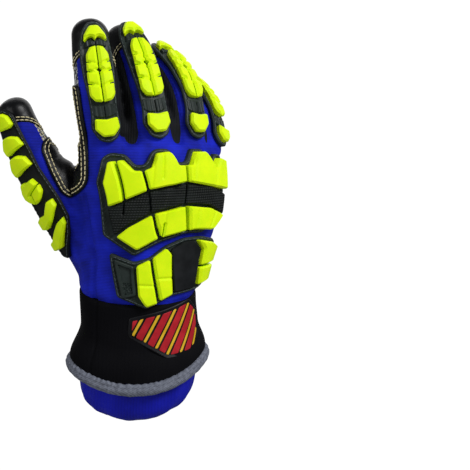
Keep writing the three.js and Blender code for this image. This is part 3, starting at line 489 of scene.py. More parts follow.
def limb_places(points):
    """For every limb, the distance along it, the angle round it and the depth outside it."""
    section = palm_section(points[:, 2])
    off = points - section.middle
    a, b = (off * section.side).sum(1), (off * section.back).sum(1)
    radius = section.wide / np.maximum(section.cup, 1e-4)
    a = a + radius * np.sin(section.turn)
    b = b + radius * np.cos(section.turn)
    v = np.hypot(a, b) - radius
    x = (np.arctan2(a, b) - section.turn) * radius
    angle, outside = round_place(section, x, v)
    outside = outside * np.minimum(section.wide, section.deep) + np.maximum(0, points[:, 2] - hand_top)
    found = {"palm": (points[:, 2], angle, outside, (section.wide + section.deep) / 2)}
    for limb in digits:
        s, section, x, v = place_on_digit(limb, points)
        angle, outside = round_place(section, x, v)
        past = np.maximum(0, s - (limb.length - limb.tip)) / limb.tip
        outside = (np.hypot(outside + 1, past) - 1) * np.minimum(section.wide, section.deep)
        outside = outside + np.maximum(0, limb.root - s) * 0.7
        found[limb.name] = (s, angle, outside, (section.wide + section.deep) / 2)
    along = (points - web_from) @ web_axis / web_reach
    section = web_section(np.clip(along, 0, 1))
    off = points - section.middle
    angle, outside = round_place(section, off @ web_side, off @ web_back)
    outside = outside * section.deep + web_reach * np.maximum(np.maximum(-along, along - 1), 0)
    found["web"] = (along, angle, outside, section.deep * 1.2)
    return {name: SimpleNamespace(**dict(zip(PLACE_NAMES, row))) for name, row in found.items()}


# %% Signed distances to the seams
def between(place, low, high):
    """Distance inside a strip between two angles round a limb: positive inside it."""
    middle, half = np.radians((low + high) / 2), np.radians((high - low) / 2)
    turn = (place.angle - middle + np.pi) % (2 * np.pi) - np.pi
    return (half - np.abs(turn)) * place.radius


def blended(places, fields):
    """One field from the limbs' own, changing over softly where one limb runs into another."""
    names = list(fields)
    depth = np.stack([places[name].outside for name in names])
    weight = np.exp(-(depth - depth.min(0)) / 1.1)
    return (weight * np.stack([fields[name] for name in names])).sum(0) / weight.sum(0)


# The blue back reaches round each limb between two angles in degrees: 90 is the middle of the back. On
# the palm its far seam moves from one angle at the wrist to another at the knuckles.
PALM_SEAM, FAR_SEAM_WRIST, FAR_SEAM_KNUCKLES = -12, 209, 166
BACK_SEAMS = {
    "index": (20, 143), "middle": (20, 160), "ring": (20, 160), "little": (-12, 160),
    "thumb": (-28, 165), "web": (0, 180),
}
# The black strips lie between these angles of a fork's left and right finger.
STRIP_LEFT, STRIP_RIGHT = (-46, 38), (142, 226)
WELL_OUTSIDE = -6.0


def seam_fields(points):
    """The places of points on the limbs, and their signed distance to each seam."""
    p = limb_places(points)
    climb = smooth_step(p["palm"].s, WRIST_HEIGHT + 10, KNUCKLE_HEIGHT)
    far_seam = FAR_SEAM_WRIST - (FAR_SEAM_WRIST - FAR_SEAM_KNUCKLES) * climb
    back = {"palm": between(p["palm"], PALM_SEAM, far_seam)}
    back.update({name: between(p[name], *angles) for name, angles in BACK_SEAMS.items()})
    caps = {}
    for limb in digits:
        place = p[limb.name]
        back_cap, palm_cap, slant = limb.size.cap
        share = palm_cap + (back_cap - palm_cap) * (np.sin(place.angle) + 1) / 2
        caps[limb.name] = place.s - limb.length * (share + slant * np.cos(place.angle))
    outside_all = np.full(len(points), WELL_OUTSIDE)
    made = {"cap": blended(p, {**caps, "palm": outside_all, "web": outside_all})}
    for k, (left, right) in enumerate(FORKS):
        own = {name: outside_all for name in p}
        own[left.name] = between(p[left.name], *STRIP_LEFT)
        own[right.name] = between(p[right.name], *STRIP_RIGHT)
        # On the palm the strip ends in half an egg below the fork.
        middle, across, out = fork_frame(left, right, -6)
        off = points - middle
        below = np.minimum(off[:, 2] - 8, 0) / 7
        own["palm"] = 7 * (1 - np.sqrt((off @ across / 6.5) ** 2 + (off @ out / 9.5) ** 2 + below**2))
        made[f"slot_{k}"] = blended(p, own)
    made["slot"] = np.max([made[f"slot_{k}"] for k in range(3)], axis=0)
    made["back"] = blended(p, back)
    for limb in digits:
        made["near_" + limb.name] = -p[limb.name].outside
    seam = CUFF_SEAM_HEIGHT + CUFF_SEAM_SLOPE * points[:, 1] - CUFF_SEAM_TILT * points[:, 0]
    made["above_cuff"] = points[:, 2] - seam
    return p, made


places, fields = seam_fields(hand_points)
fields["thumb_side"] = np.cos(places["thumb"].angle)
print("fields:", {name: (round(float(f.min()), 1), round(float(f.max()), 1)) for name, f in fields.items()})


# %% Outlines and distances in the flat
def rounded(outline, radius, steps=5):
    """The outline with each corner replaced by an arc of about that radius."""
    outline = np.asarray(outline, float)
    made = []
    for before, corner, after in zip(np.roll(outline, 1, 0), outline, np.roll(outline, -1, 0)):
        first, second = before - corner, after - corner
        reach = min(radius, 0.45 * np.linalg.norm(first), 0.45 * np.linalg.norm(second))
        start = corner + first / np.linalg.norm(first) * reach
        end = corner + second / np.linalg.norm(second) * reach
        for t in np.linspace(0, 1, steps):
            made.append((1 - t) ** 2 * start + 2 * t * (1 - t) * corner + t * t * end)
    return np.array(made)


def segment_distance(points, start, end):
    start, end = np.asarray(start, float), np.asarray(end, float)
    way = end - start
    share = np.clip(((points - start) @ way) / (way @ way), 0, 1)
    return np.linalg.norm(points - start - share[:, None] * way, axis=1)


def line_distance(points, line):
    return np.min([segment_distance(points, a, b) for a, b in zip(line, line[1:])], axis=0)


def outline_distance(points, outline):
    """Distance to a closed outline: positive inside it."""
    outline = np.asarray(outline, float)
    nearest = np.full(len(points), np.inf)
    inside = np.zeros(len(points), bool)
    for a, b in zip(outline, np.roll(outline, -1, 0)):
        if np.allclose(a, b):
            continue
        nearest = np.minimum(nearest, segment_distance(points, a, b))
        spans = (a[1] > points[:, 1]) != (b[1] > points[:, 1])
        rise = b[1] - a[1] if abs(b[1] - a[1]) > 1e-9 else 1e-9
        inside ^= spans & (points[:, 0] < (b[0] - a[0]) * (points[:, 1] - a[1]) / rise + a[0])
    return np.where(inside, nearest, -nearest)


# %% [markdown]
# ## Creases that wear puts in
# A new glove already creases where it was turned and pressed. Each crease is a shallow valley along a
# line on one side of the hand. A low, slow unevenness keeps the cloth from looking like cast plastic.

# %% Creases and slack
# Side, depth, half width, and the line as (x, z) seen from the back.
CREASES = [
    ("back", 1.7, 1.5, [(-35.5, 156), (-33.5, 140), (-31, 122), (-29.8, 113), (-30.4, 96), (-30.4, 80)]),
    ("back", 2.2, 4.5, [(-39, 148.5), (-36.2, 129), (-33.5, 114.5)]),
    ("back", 1.0, 2.2, [(-43, 140), (-37.6, 122)]),
    ("back", 0.9, 2.5, [(-40, 119), (-20, 116), (-4, 118)]),
    ("palm", 0.8, 3.0, [(-30, 150), (-8, 128), (14, 118)]),
    ("palm", 0.7, 2.5, [(-34, 132), (-12, 112), (4, 108)]),
    ("palm", 0.6, 2.5, [(30, 112), (12, 104), (-8, 103)]),
    ("palm", 0.6, 3.0, [(36, 150), (18, 158), (0, 168)]),
    ("palm", 0.5, 2.0, [(20, 96), (-2, 93), (-24, 97)]),
]
JOINT_DEPTH, JOINT_WIDTH, SLACK_DEPTH = 0.6, 1.8, 0.3
hand_normals = normals_of(hand_points, hand_faces)
soft_normals = unit(relaxed(hand_normals, hand_faces, 20))
toward_palm = soft_normals[:, 1]
from_back = hand_points[:, [0, 2]]
sunk = np.zeros(len(hand_points))
for side, depth, width, line in CREASES:
    facing = toward_palm if side == "palm" else -toward_palm
    sunk += depth * bell(line_distance(from_back, line), width) * smooth_step(facing, 0.1, 0.5)
for limb in digits:
    along, turn = places[limb.name].s, places[limb.name].angle
    own = smooth_step(-places[limb.name].outside, -3, 0) * smooth_step(-np.sin(turn), -0.1, 0.5)
    for share in JOINTS:
        fold = limb.length * share + 1.5 * np.sin(3 * turn)
        sunk += JOINT_DEPTH * own * bell(along - fold, JOINT_WIDTH)
slack = np.sin(hand_points @ (0.21, 0.13, 0.09)) * np.sin(hand_points @ (-0.08, 0.17, 0.14) + 1)
hand_points = hand_points - hand_normals * (sunk + SLACK_DEPTH * slack)[:, None]
print("deepest crease:", round(float(sunk.max()), 2), "mm")

# The leather patches are laid on the skin as it is now, before the panels are cut.
skin = SimpleNamespace(points=hand_points, faces=hand_faces, normal=soft_normals)

# %% [markdown]
# ## Cutting along a line
# Scissors follow the chalk, not the weave. Where a seam crosses a triangle, the triangle is split on
# the line itself, so that neighbouring panels share one clean edge and no teeth show.

# %% The cut
# A point this near to a line is moved onto it, so no sliver of a triangle is left.
SNAP = 0.02


def add_line(points, faces, values, name, level=0.0):
    """Splits triangles where values[name] crosses level, and carries every other value along."""
    field = values[name] - level
    field = np.where(np.abs(field) < SNAP, 0.0, field)
    edges = edges_of(faces)
    ends = edges[field[edges[:, 0]] * field[edges[:, 1]] < 0]
    share = field[ends[:, 0]] / (field[ends[:, 0]] - field[ends[:, 1]])
    base = len(points)

    def mixed(v):
        low, high = v[ends[:, 0]], v[ends[:, 1]]
        return low + (high - low) * (share[:, None] if v.ndim > 1 else share)

    extended = {key: np.concatenate([v, mixed(v)]) for key, v in values.items()}
    extended[name][base:] = level
    extended[name][:base] = field + level
    if not len(ends):
        return points, faces, extended
    # Each cut edge has a number of its own, by which a triangle finds the new point on it.
    code = ends[:, 0].astype(np.int64) * base + ends[:, 1]
    order = np.argsort(code)
    code = code[order]

    def middle(p, q):
        key = np.minimum(p, q).astype(np.int64) * base + np.maximum(p, q)
        at = np.minimum(np.searchsorted(code, key), len(code) - 1)
        return np.where(code[at] == key, base + order[at], -1)

    kept, done = [], np.zeros(len(faces), bool)
    for roll in range(3):
        a, b, c = np.roll(faces, -roll, 1).T
        ab, bc, ca = middle(a, b), middle(b, c), middle(c, a)
        two_edges = (ab >= 0) & (ca >= 0) & (bc < 0), ((a, ab, ca), (ab, b, c), (ab, c, ca))
        one_edge = (ab >= 0) & (bc < 0) & (ca < 0), ((a, ab, c), (ab, b, c))
        for cut, rows in (two_edges, one_edge):
            cut = cut & ~done
            kept += [np.stack(row, 1)[cut] for row in rows]
            done |= cut
    kept.append(faces[~done])
    return np.vstack([points, mixed(points)]), np.vstack(kept), extended


def region(points, faces, values, keep):
    """Only the triangles that keep says, with the points they use."""
    faces = faces[keep]
    used, inverse = np.unique(faces, return_inverse=True)
    return points[used], inverse.reshape(-1, 3), {key: v[used] for key, v in values.items()}


def face_mean(faces, values):
    return values[faces].mean(1)


def cut_out(points, faces, own, bevel):
    """The part of a sheet where its "inside" is positive, with a line of points along its bevel."""
    points, faces, own = add_line(points, faces, own, "inside")
    points, faces, own = region(points, faces, own, face_mean(faces, own["inside"]) > 0)
    return add_line(points, faces, own, "inside", bevel)

# %% [markdown]
# ## Cloth with a thickness
# Cut cloth is a wall, not a film. Each panel gets an inner copy and a rim between the two, and its edge
# is drawn in where it is turned and sewn. Along a seam both panels dip into the same narrow valley.

# %% Walls, pieces and names
def open_edges(faces):
    """The directed edges that only one triangle has."""
    directed = directed_edges(faces)
    top = directed.max() + 1
    forward = directed[:, 0].astype(np.int64) * top + directed[:, 1]
    backward = directed[:, 1].astype(np.int64) * top + directed[:, 0]
    return directed[~np.isin(forward, backward)]


def closed_wall(outer, inner, faces):
    """Joins an outer and an inner copy of a sheet with a rim."""
    count = len(outer)
    a, b = open_edges(faces).T
    rim = np.vstack([np.stack([b, a, a + count], 1), np.stack([b, a + count, b + count], 1)])
    return np.vstack([outer, inner]), np.vstack([faces, faces[:, ::-1] + count, rim])


def facing_out(outer, faces, inner=0.0):
    """Turns triangles round if they face a sheet's inner copy, or the middle of a closed mesh."""
    a, b, c = outer[faces].transpose(1, 0, 2)
    away = (outer - inner)[faces[:, 0]]
    return faces if (np.cross(b - a, c - a) * away).sum() > 0 else faces[:, ::-1]


materials, slots, pieces = {}, {}, {}


def piece(name, points, faces, material, stands_for=(), sharp=40, flat=None):
    """A finished mesh object: named, smooth shaded, riding with the glove."""
    mesh = blender_mesh(name, points, faces)
    mesh.shade_smooth()
    mesh.set_sharp_from_angle(angle=math.radians(sharp))
    made = bpy.data.objects.new(name, mesh)
    bpy.context.scene.collection.objects.link(made)
    mesh.materials.append(materials[material])
    if flat is not None:
        corners = np.zeros(len(mesh.loops), int)
        mesh.loops.foreach_get("vertex_index", corners)
        layer = mesh.uv_layers.new(name="pattern")
        layer.data.foreach_set("uv", np.asarray(flat, float)[corners].ravel())
    if stands_for:
        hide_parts(*stands_for)
    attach(made, "root")
    pieces[name] = made
    return made


# %% [markdown]
# ## Finishes
# Each finish is named for the stuff it stands for. Colours are picked as sRGB and turned to linear
# light by one function. Pattern sizes are real millimetres, or coarser where the real thread would be
# finer than a pixel, because a pattern below a pixel only turns to a flat grey.

# %% A small kit for finishes
def linear(code):
    """An sRGB colour such as "#1b2fd0" as the linear values that a shader takes."""
    parts = [int(code[k:k + 2], 16) / 255 for k in (1, 3, 5)]
    return tuple(c / 12.92 if c <= 0.04045 else ((c + 0.055) / 1.055) ** 2.4 for c in parts) + (1.0,)


def add_node(tree, kind, inputs=(), into=None, stops=(), **settings):
    """Adds a shader node with its settings, fills or links its sockets by name or number, sets a ramp's
    (place, sRGB code) stops, and links its first output into a socket."""
    node = tree.nodes.new("ShaderNode" + kind)
    for key, value in settings.items():
        setattr(node, key, value)
    for key, value in dict(inputs).items():
        if isinstance(value, bpy.types.NodeSocket):
            tree.links.new(value, node.inputs[key])
        else:
            node.inputs[key].default_value = value
    for k, (at, code) in enumerate(stops):
        element = node.color_ramp.elements[k] if k < 2 else node.color_ramp.elements.new(at)
        element.position, element.color = at, linear(code)
    if into is not None:
        # A second bump starts from the first one, and goes in its place.
        if into.is_linked:
            tree.links.new(into.links[0].from_socket, node.inputs[into.name])
        tree.links.new(node.outputs[0], into)
    return node


def new_finish(label, slot, **values):
    """A Principled material with constant values on its own sockets, and object space in mm."""
    material = bpy.data.materials.new(label.replace(" ", "_"))
    material.use_nodes = True
    tree = material.node_tree
    surface = tree.nodes["Principled BSDF"].inputs
    for key, value in values.items():
        surface[key.replace("_", " ")].default_value = value
    place = add_node(tree, "TexCoord").outputs["Object"]
    in_mm = add_node(tree, "VectorMath", {0: place, "Scale": 1 / MM}, operation="SCALE").outputs[0]
    materials[label], slots[label] = material, slot
    return tree, surface, in_mm


# A wave texture's band is 0.314 / scale long, so this gives a band of a length in millimetres.
BAND = 2 * math.pi / 20


# %% Knits and fabrics
def ribbed_knit(label, slot, dark, light, rib, axis, roughness, sheen, depth, rib_shade=0.45):
    """A stretch knit: bumped ribs with painted shade, darker in each groove and lighter on each crown, and
    a cloudy change of stretch.
    """
    tree, surface, mm = new_finish(
        label, slot, Roughness=roughness, Sheen_Weight=sheen, Specular_IOR_Level=0.12
    )
    wave = {"Vector": mm, "Scale": BAND / rib, "Distortion": 0.6, "Detail": 1.0}
    ribs = add_node(tree, "TexWave", wave, bands_direction=axis).outputs["Fac"]
    clouds = add_node(tree, "TexNoise", {"Vector": mm, "Scale": 0.06, "Detail": 3.0}).outputs["Fac"]
    # Painted shade: the colour is darker in each rib's groove and lighter on its crown, mixed with the
    # cloudy stretch.
    both = add_node(tree, "Math", {0: ribs, 1: rib_shade, 2: clouds}, operation="MULTIPLY_ADD").outputs[0]
    add_node(tree, "ValToRGB", {0: both}, surface["Base Color"], [(0.35, dark), (0.95, light)])
    add_node(tree, "Bump", {"Height": ribs, "Distance": depth * MM}, surface["Normal"])
    loops = add_node(tree, "TexVoronoi", {"Vector": mm, "Scale": 1.4}).outputs["Distance"]
    bump = {"Height": loops, "Distance": depth * 0.5 * MM, "Strength": 0.5}
    add_node(tree, "Bump", bump, surface["Normal"])


# Royal blue polyester stretch knit: its loops scatter light, so edges fade and no highlight is sharp.
ribbed_knit("blue knit", "blue_knit", "#0c1470", "#1b2bd6", 1.0, "Z", 0.72, 0.0, 0.1, 0.2)
# The inner cuff is the same blue in a closer, smoother knit, so it shines a little like satin.
ribbed_knit("blue satin", "blue_knit", "#0b0f80", "#141bb0", 1.0, "X", 0.5, 0.0, 0.1)
# Black stretch fabric between the fingers, matte, with fine lengthwise ribs.
ribbed_knit("black fabric", "black_fabric", "#08090b", "#1a1c20", 1.1, "X", 0.7, 0.03, 0.15)
# Neoprene has a nylon jersey face: very dark, nearly without gloss, with a faint fine jersey.
ribbed_knit("neoprene", "neoprene", "#030307", "#07070c", 0.9, "X", 0.78, 0.0, 0.08)

# Cut-resistant marl is knitted from black and white yarns, so it shows as flecks a loop wide.
tree, surface, mm = new_finish("grey marl", "grey_knit", Roughness=0.88, Specular_IOR_Level=0.15)
tall = add_node(tree, "Mapping", {"Vector": mm, "Scale": (1.5, 1.5, 0.95)}).outputs[0]
loops = add_node(tree, "TexVoronoi", {"Vector": tall, "Scale": 1.0})
fleck = add_node(tree, "SeparateColor", {0: loops.outputs["Color"]}).outputs[0]
FLECKS = [(0.0, "#141517"), (0.3, "#4a4c4d"), (0.55, "#7d7f80"), (0.75, "#b9bbbc"), (0.92, "#e6e7e6")]
add_node(tree, "ValToRGB", {0: fleck}, surface["Base Color"], FLECKS)
bump = {"Height": loops.outputs["Distance"], "Distance": 0.3 * MM, "Strength": 0.7}
add_node(tree, "Bump", bump, surface["Normal"])

# The binding is a grey elastic tape with a twill that runs round the hem: its colour goes darker and
# lighter with the bumped twill lines, and with a cloudy change of yarn.
tree, surface, mm = new_finish("grey binding", "grey_piping", Roughness=0.62, Specular_IOR_Level=0.2)
low = add_node(tree, "Mapping", {"Vector": mm, "Scale": (1, 1, 1.6)}).outputs[0]
wave = {"Vector": low, "Scale": BAND / 1.1, "Distortion": 1.2}
twill = add_node(tree, "TexWave", wave, bands_direction="DIAGONAL").outputs["Fac"]
yarn = add_node(tree, "TexNoise", {"Vector": mm, "Scale": 0.5, "Detail": 2.0}).outputs["Fac"]
both = add_node(tree, "Math", {0: twill, 1: 0.22, 2: yarn}, operation="MULTIPLY_ADD").outputs[0]
add_node(tree, "ValToRGB", {0: both}, surface["Base Color"], [(0.3, "#4a4d58"), (0.85, "#767b89")])
add_node(tree, "Bump", {"Height": twill, "Distance": 0.12 * MM, "Strength": 0.8}, surface["Normal"])
print("cloths:", ", ".join(materials))


# %% Leather and rubber
def grained(label, slot, dark, light, grain, depth, rough_low, rough_high, **values):
    """A smooth skin with a pebbled grain and patches of higher and lower gloss."""
    tree, surface, mm = new_finish(label, slot, **values)
    pebbles = add_node(tree, "TexVoronoi", {"Vector": mm, "Scale": 1 / grain}, feature="SMOOTH_F1")
    clouds = add_node(tree, "TexNoise", {"Vector": mm, "Scale": 0.12, "Detail": 4.0}).outputs["Fac"]
    add_node(tree, "ValToRGB", {0: clouds}, surface["Base Color"], [(0.35, dark), (0.7, light)])
    gloss = {"Value": clouds, "From Min": 0.35, "From Max": 0.7, "To Min": rough_low, "To Max": rough_high}
    add_node(tree, "MapRange", gloss, surface["Roughness"])
    bump = {"Height": pebbles.outputs["Distance"], "Distance": depth * MM}
    add_node(tree, "Bump", bump, surface["Normal"])
    return tree, surface, mm


# Black goatskin: finished smooth, so lamps show as broad soft highlights broken by fine pebbles.
tree, surface, mm = grained("black leather", "black_leather", "#050609", "#0d0f14", 0.9, 0.01, 0.3, 0.44,
                          Specular_IOR_Level=0.28)
noise = {"Vector": mm, "Scale": 0.16, "Detail": 2.0, "Distortion": 0.8}
wrinkles = add_node(tree, "TexNoise", noise).outputs["Fac"]
add_node(tree, "Bump", {"Height": wrinkles, "Distance": 0.6 * MM, "Strength": 0.4}, surface["Normal"])
# Moulded thermoplastic rubber, black with a green cast: satin, because the tool's steel was blasted.
grained("black rubber", "black_rubber", "#1b2422", "#27322f", 0.5, 0.02, 0.45, 0.6, Specular_IOR_Level=0.3)
# The same rubber in fluorescent yellow. Light goes a little way in, which softens its shaded sides.
grained(
    "bright rubber", "bright_rubber", "#d0f206", "#def808", 0.6, 0.02, 0.45, 0.6, Specular_IOR_Level=0.12,
    Subsurface_Weight=0.12, Subsurface_Radius=(0.8 * MM, 1.0 * MM, 0.2 * MM),
)
# The thumb guard's base and the wrist guard's middle panel are a darker rubber without the green cast.
grained("panel rubber", "black_rubber", "#0e1113", "#181b1e", 0.5, 0.02, 0.5, 0.65, Specular_IOR_Level=0.2)
# The band of the knuckle guard has a moulded grid of small squares, seen as a fine mesh.
tree, surface, mm = grained("black grid rubber", "black_rubber", "#101414", "#1b2020", 0.5, 0.02, 0.5, 0.65,
                          Specular_IOR_Level=0.2)
flat = add_node(tree, "UVMap", uv_map="pattern").outputs[0]
for axis in "XY":
    lines = add_node(tree, "TexWave", {"Vector": flat, "Scale": BAND / 1.7}, bands_direction=axis)
    add_node(tree, "Bump", {"Height": lines.outputs["Fac"], "Distance": 0.3 * MM}, surface["Normal"])


print("finishes so far:", len(materials))

# %% Thread and print
# Twisted polyester thread, cream on the leather and dark on the rubber: its plies cross it at a slant,
# bumped, and painted shade darkens the grooves between them.
for label, dark, light in (("cream thread", "#c4b884", "#f0e7be"), ("dark thread", "#3a4244", "#667072")):
    tree, surface, mm = new_finish(label, "grey_knit", Roughness=0.55, Specular_IOR_Level=0.2)
    wave = {"Vector": mm, "Scale": BAND / 0.5, "Distortion": 0.5}
    plies = add_node(tree, "TexWave", wave, bands_direction="DIAGONAL").outputs["Fac"]
    # Painted shade: the colour is darker in the grooves between plies and lighter on their crowns.
    add_node(tree, "ValToRGB", {0: plies}, surface["Base Color"], [(0.1, dark), (0.8, light)])
    add_node(tree, "Bump", {"Height": plies, "Distance": 0.1 * MM}, surface["Normal"])
# Heat-pressed rubber print: flat strong colours with a slight gloss and a faint orange-peel skin.
for label, dark, light in (
    ("black print", "#0c0c10", "#16161b"), ("red print", "#a01420", "#b81c28"),
    ("yellow print", "#c8a014", "#dcb428"),
):
    grained(label, "print", dark, light, 0.8, 0.02, 0.4, 0.55, Specular_IOR_Level=0.25)
print("finishes:", ", ".join(materials))

# %% Seam valleys
SEAM_DEPTH, SEAM_WIDTH = 1.0, 1.3
CUFF_SEAM_DEPTH, CUFF_SEAM_WIDTH = 1.4, 2.0
hand_normals = normals_of(hand_points, hand_faces)
below_cap, beside_slot = fields["cap"] < 0, fields["slot"] < 0
dip = np.max([
    bell(fields["cap"], SEAM_WIDTH), bell(fields["slot"], SEAM_WIDTH) * below_cap,
    bell(fields["back"], SEAM_WIDTH) * below_cap * beside_slot,
    bell(fields["above_cuff"], CUFF_SEAM_WIDTH) * CUFF_SEAM_DEPTH,
], axis=0)
hand_points = hand_points - hand_normals * (SEAM_DEPTH * dip)[:, None]

values = dict(fields)
values["normal"] = hand_normals
for name in ("above_cuff", "cap", "slot", "back"):
    hand_points, hand_faces, values = add_line(hand_points, hand_faces, values, name)
above = face_mean(hand_faces, values["above_cuff"]) > 0
hand_points, hand_faces, values = region(hand_points, hand_faces, values, above)
print("cut hand:", len(hand_points), "points,", len(hand_faces), "triangles")


def cloth_piece(name, keep, wall, material, stands_for):
    points, faces, own = region(hand_points, hand_faces, values, keep)
    inner = points - own["normal"] * wall
    flat = np.vstack([points[:, [0, 2]], inner[:, [0, 2]]])
    return piece(name, *closed_wall(points, inner, faces), material, stands_for, 60, flat)


# %% The panels of the hand
in_cap = face_mean(hand_faces, values["cap"]) > 0
in_slot = ~in_cap & (face_mean(hand_faces, values["slot"]) > 0)
in_back = ~in_cap & ~in_slot & (face_mean(hand_faces, values["back"]) > 0)
in_palm = ~(in_cap | in_slot | in_back)
nearest_digit = np.stack([face_mean(hand_faces, values["near_" + limb.name]) for limb in digits]).argmax(0)
pair = np.stack([face_mean(hand_faces, values[f"slot_{k}"]) for k in range(3)]).argmax(0)

cloth_piece("blue_back", in_back, KNIT_WALL, "blue knit", ["back_panel"])
cloth_piece("marl_palm", in_palm, KNIT_WALL, "grey marl", ["palm_panel"])
for k, limb in enumerate(digits):
    keep = in_cap & (nearest_digit == k)
    cloth_piece(f"{limb.name}_leather_cap", keep, CAP_WALL, "black leather", [f"{limb.name}_cap"])
SLOTS = ["index_middle_slot", "middle_ring_slot", "ring_little_slot"]
for k, name in enumerate(SLOTS):
    keep = in_slot & (pair == k)
    cloth_piece(name.replace("slot", "strip"), keep, STRIP_WALL, "black fabric", [name])
print("panels:", ", ".join(pieces))

# %% [markdown]
# ## Guards moulded flat and laid round
# Thermoplastic rubber is moulded in a flat tool, so a guard is drawn flat: an outline with rounded
# corners, a bevelled rim and narrow cuts. The flat piece is then wrapped on the finger or the back of
# the hand, which keeps its breadth along the curved surface, as bending a real guard does.

# %% Laying a flat point on a limb
ARC_STEPS = 60
arc_tables = {}


def arc_lengths(limb, s_from, s_to):
    """Arc lengths both ways from the middle of a limb's back, for every millimetre along it."""
    if limb.name not in arc_tables:
        s = np.arange(s_from, s_to, 1.0)
        angles = np.linspace(0, np.pi, ARC_STEPS + 1)
        ways = []
        for way in (1, -1):
            section = limb.section(np.repeat(s[:, None], ARC_STEPS + 1, 1))
            turn = np.pi / 2 - way * angles
            x = signed_power(np.cos(turn), 2 / section.square) * section.wide
            v = signed_power(np.sin(turn), 2 / section.square) * section.deep
            a, b = bent(section, x, v)
            steps = np.hypot(np.diff(a, axis=1), np.diff(b, axis=1))
            ways.append(np.concatenate([np.zeros((len(s), 1)), np.cumsum(steps, 1)], 1))
        arc_tables[limb.name] = (s, ways)
    return arc_tables[limb.name]


LIMB_SPANS = {"palm": (0.0, 200.0), "thumb": (0.0, 152.0)}


def laid(limb, flat, height):
    """The place of flat points (round the limb, along it) at a height over its surface."""
    s_known, ways = arc_lengths(limb, *LIMB_SPANS.get(limb.name, (-6.0, 104.0)))
    row = np.clip(flat[:, 1] - s_known[0], 0, len(s_known) - 1.001)
    low = row.astype(int)
    share = (row - low)[:, None]
    target = np.abs(flat[:, 0])
    turn = np.empty(len(flat))
    for way, lengths in zip((1, -1), ways):
        mine = (flat[:, 0] >= 0) if way == 1 else (flat[:, 0] < 0)
        table = lengths[low[mine]] * (1 - share[mine]) + lengths[low[mine] + 1] * share[mine]
        at = np.clip((table < target[mine, None]).sum(1) - 1, 0, ARC_STEPS - 1)
        index = np.arange(len(at))
        step = table[index, at + 1] - table[index, at]
        turn[mine] = (at + (target[mine] - table[index, at]) / np.maximum(step, 1e-6)) * way
    return surface_point(limb, flat[:, 1], np.pi / 2 - turn * np.pi / ARC_STEPS, height)


print("30 mm round the palm:", laid(palm, np.array([[30.0, 140.0]]), np.zeros(1)).round(1), "mm")

# %% A moulded plate
GRID = 0.9
PAD_GRID = 0.5
CREASE_DEPTH, CREASE_WIDTH = 0.7, 0.8
sheets = {}


def flat_grid(outline, step):
    """A field of small triangles that covers an outline."""
    low, high = outline.min(0) - step, outline.max(0) + step
    xs = np.linspace(low[0], high[0], max(3, int((high[0] - low[0]) / step)))
    ys = np.linspace(low[1], high[1], max(3, int((high[1] - low[1]) / step)))
    points = np.stack(np.meshgrid(xs, ys, indexing="ij"), -1).reshape(-1, 2)
    i, j = np.meshgrid(np.arange(len(xs) - 1), np.arange(len(ys) - 1), indexing="ij")
    a = (i * len(ys) + j).ravel()
    b, c, d = a + len(ys), a + 1, a + len(ys) + 1
    return points, np.vstack([np.stack([a, b, d], 1), np.stack([a, d, c], 1)])


def plate(name, limb, outline, low, high, material, stands_for=(), bevel=0.9, drop=0.9, corner=1.2,
          cuts=(), cut_width=0.6, creases=(), holes=(), within=None, relief=None, lift=None,
          sharp=30, step=GRID):
    """A flat plate with rounded corners, a bevelled rim, cuts and holes, laid on a limb."""
    outline = rounded(outline, corner)
    points, faces = flat_grid(outline, step)
    inside = outline_distance(points, outline)
    for line in cuts:
        inside = np.minimum(inside, line_distance(points, line) - cut_width / 2)
    for hole in holes:
        inside = np.minimum(inside, -outline_distance(points, hole))
    if within is not None:
        border, inset = within
        inside = np.minimum(inside, outline_distance(points, border) - inset)
    points, faces, own = cut_out(points, faces, {"inside": inside}, bevel)
    top = high - drop * (1 - np.clip(own["inside"] / bevel, 0, 1))
    for line in creases:
        top = top - CREASE_DEPTH * bell(line_distance(points, line), CREASE_WIDTH)
    if relief is not None:
        top = top + relief(points, own["inside"])
    raised = lift(points) if lift is not None else 0.0
    outer = laid(limb, points, top + raised)
    inner = laid(limb, points, np.full(len(points), low) + raised)
    faces = facing_out(outer, faces, inner)
    sheets[name] = SimpleNamespace(
        points=outer, faces=faces, normal=normals_of(outer, faces), inside=own["inside"]
    )
    flat = np.vstack([points, points])
    return piece(name, *closed_wall(outer, inner, faces), material, stands_for, sharp, flat)


# %% Outlines of the guards
# Each outline is drawn in shares: across by half the guard's breadth, and along by its length.
# The finger guards are alike on both sides, so only the right half of each part is drawn.
GUARD_SEAT, GUARD_BASE, PAD_TOP = 0.2, 2.9, 6.6
FINGER_HALVES = {
    "base": [
        (0, -0.01), (0.55, 0.02), (0.92, 0.12), (0.8, 0.24), (0.84, 0.38), (0.96, 0.52), (1, 0.68),
        (0.93, 0.8), (0.72, 0.92), (0.3, 1),
    ],
    "tip_pad": [
        (0, 0.82), (0.07, 0.845), (0.2, 0.856), (0.42, 0.842), (0.57, 0.812), (0.52, 0.87), (0.2, 0.95),
    ],
    "mid_pad": [
        (0, 0.32), (0.42, 0.33), (0.63, 0.375), (0.63, 0.52), (0.54, 0.7), (0.32, 0.76), (0, 0.77),
    ],
    "low_joint": [(0, 0.2), (0.35, 0.205), (0.68, 0.225), (0.7, 0.31), (0.4, 0.3), (0, 0.295)],
    "high_joint": [
        (0, 0.785), (0.3, 0.78), (0.62, 0.762), (0.6, 0.8), (0.44, 0.83), (0.2, 0.842), (0, 0.812),
    ],
    "knuckle_pad": [(0.26, 0.045), (0.62, 0.11), (0.56, 0.195), (0, 0.18)],
}
FINGER_OUTLINES = {
    part: half + [(-x, y) for x, y in reversed(half) if x] for part, half in FINGER_HALVES.items()
}
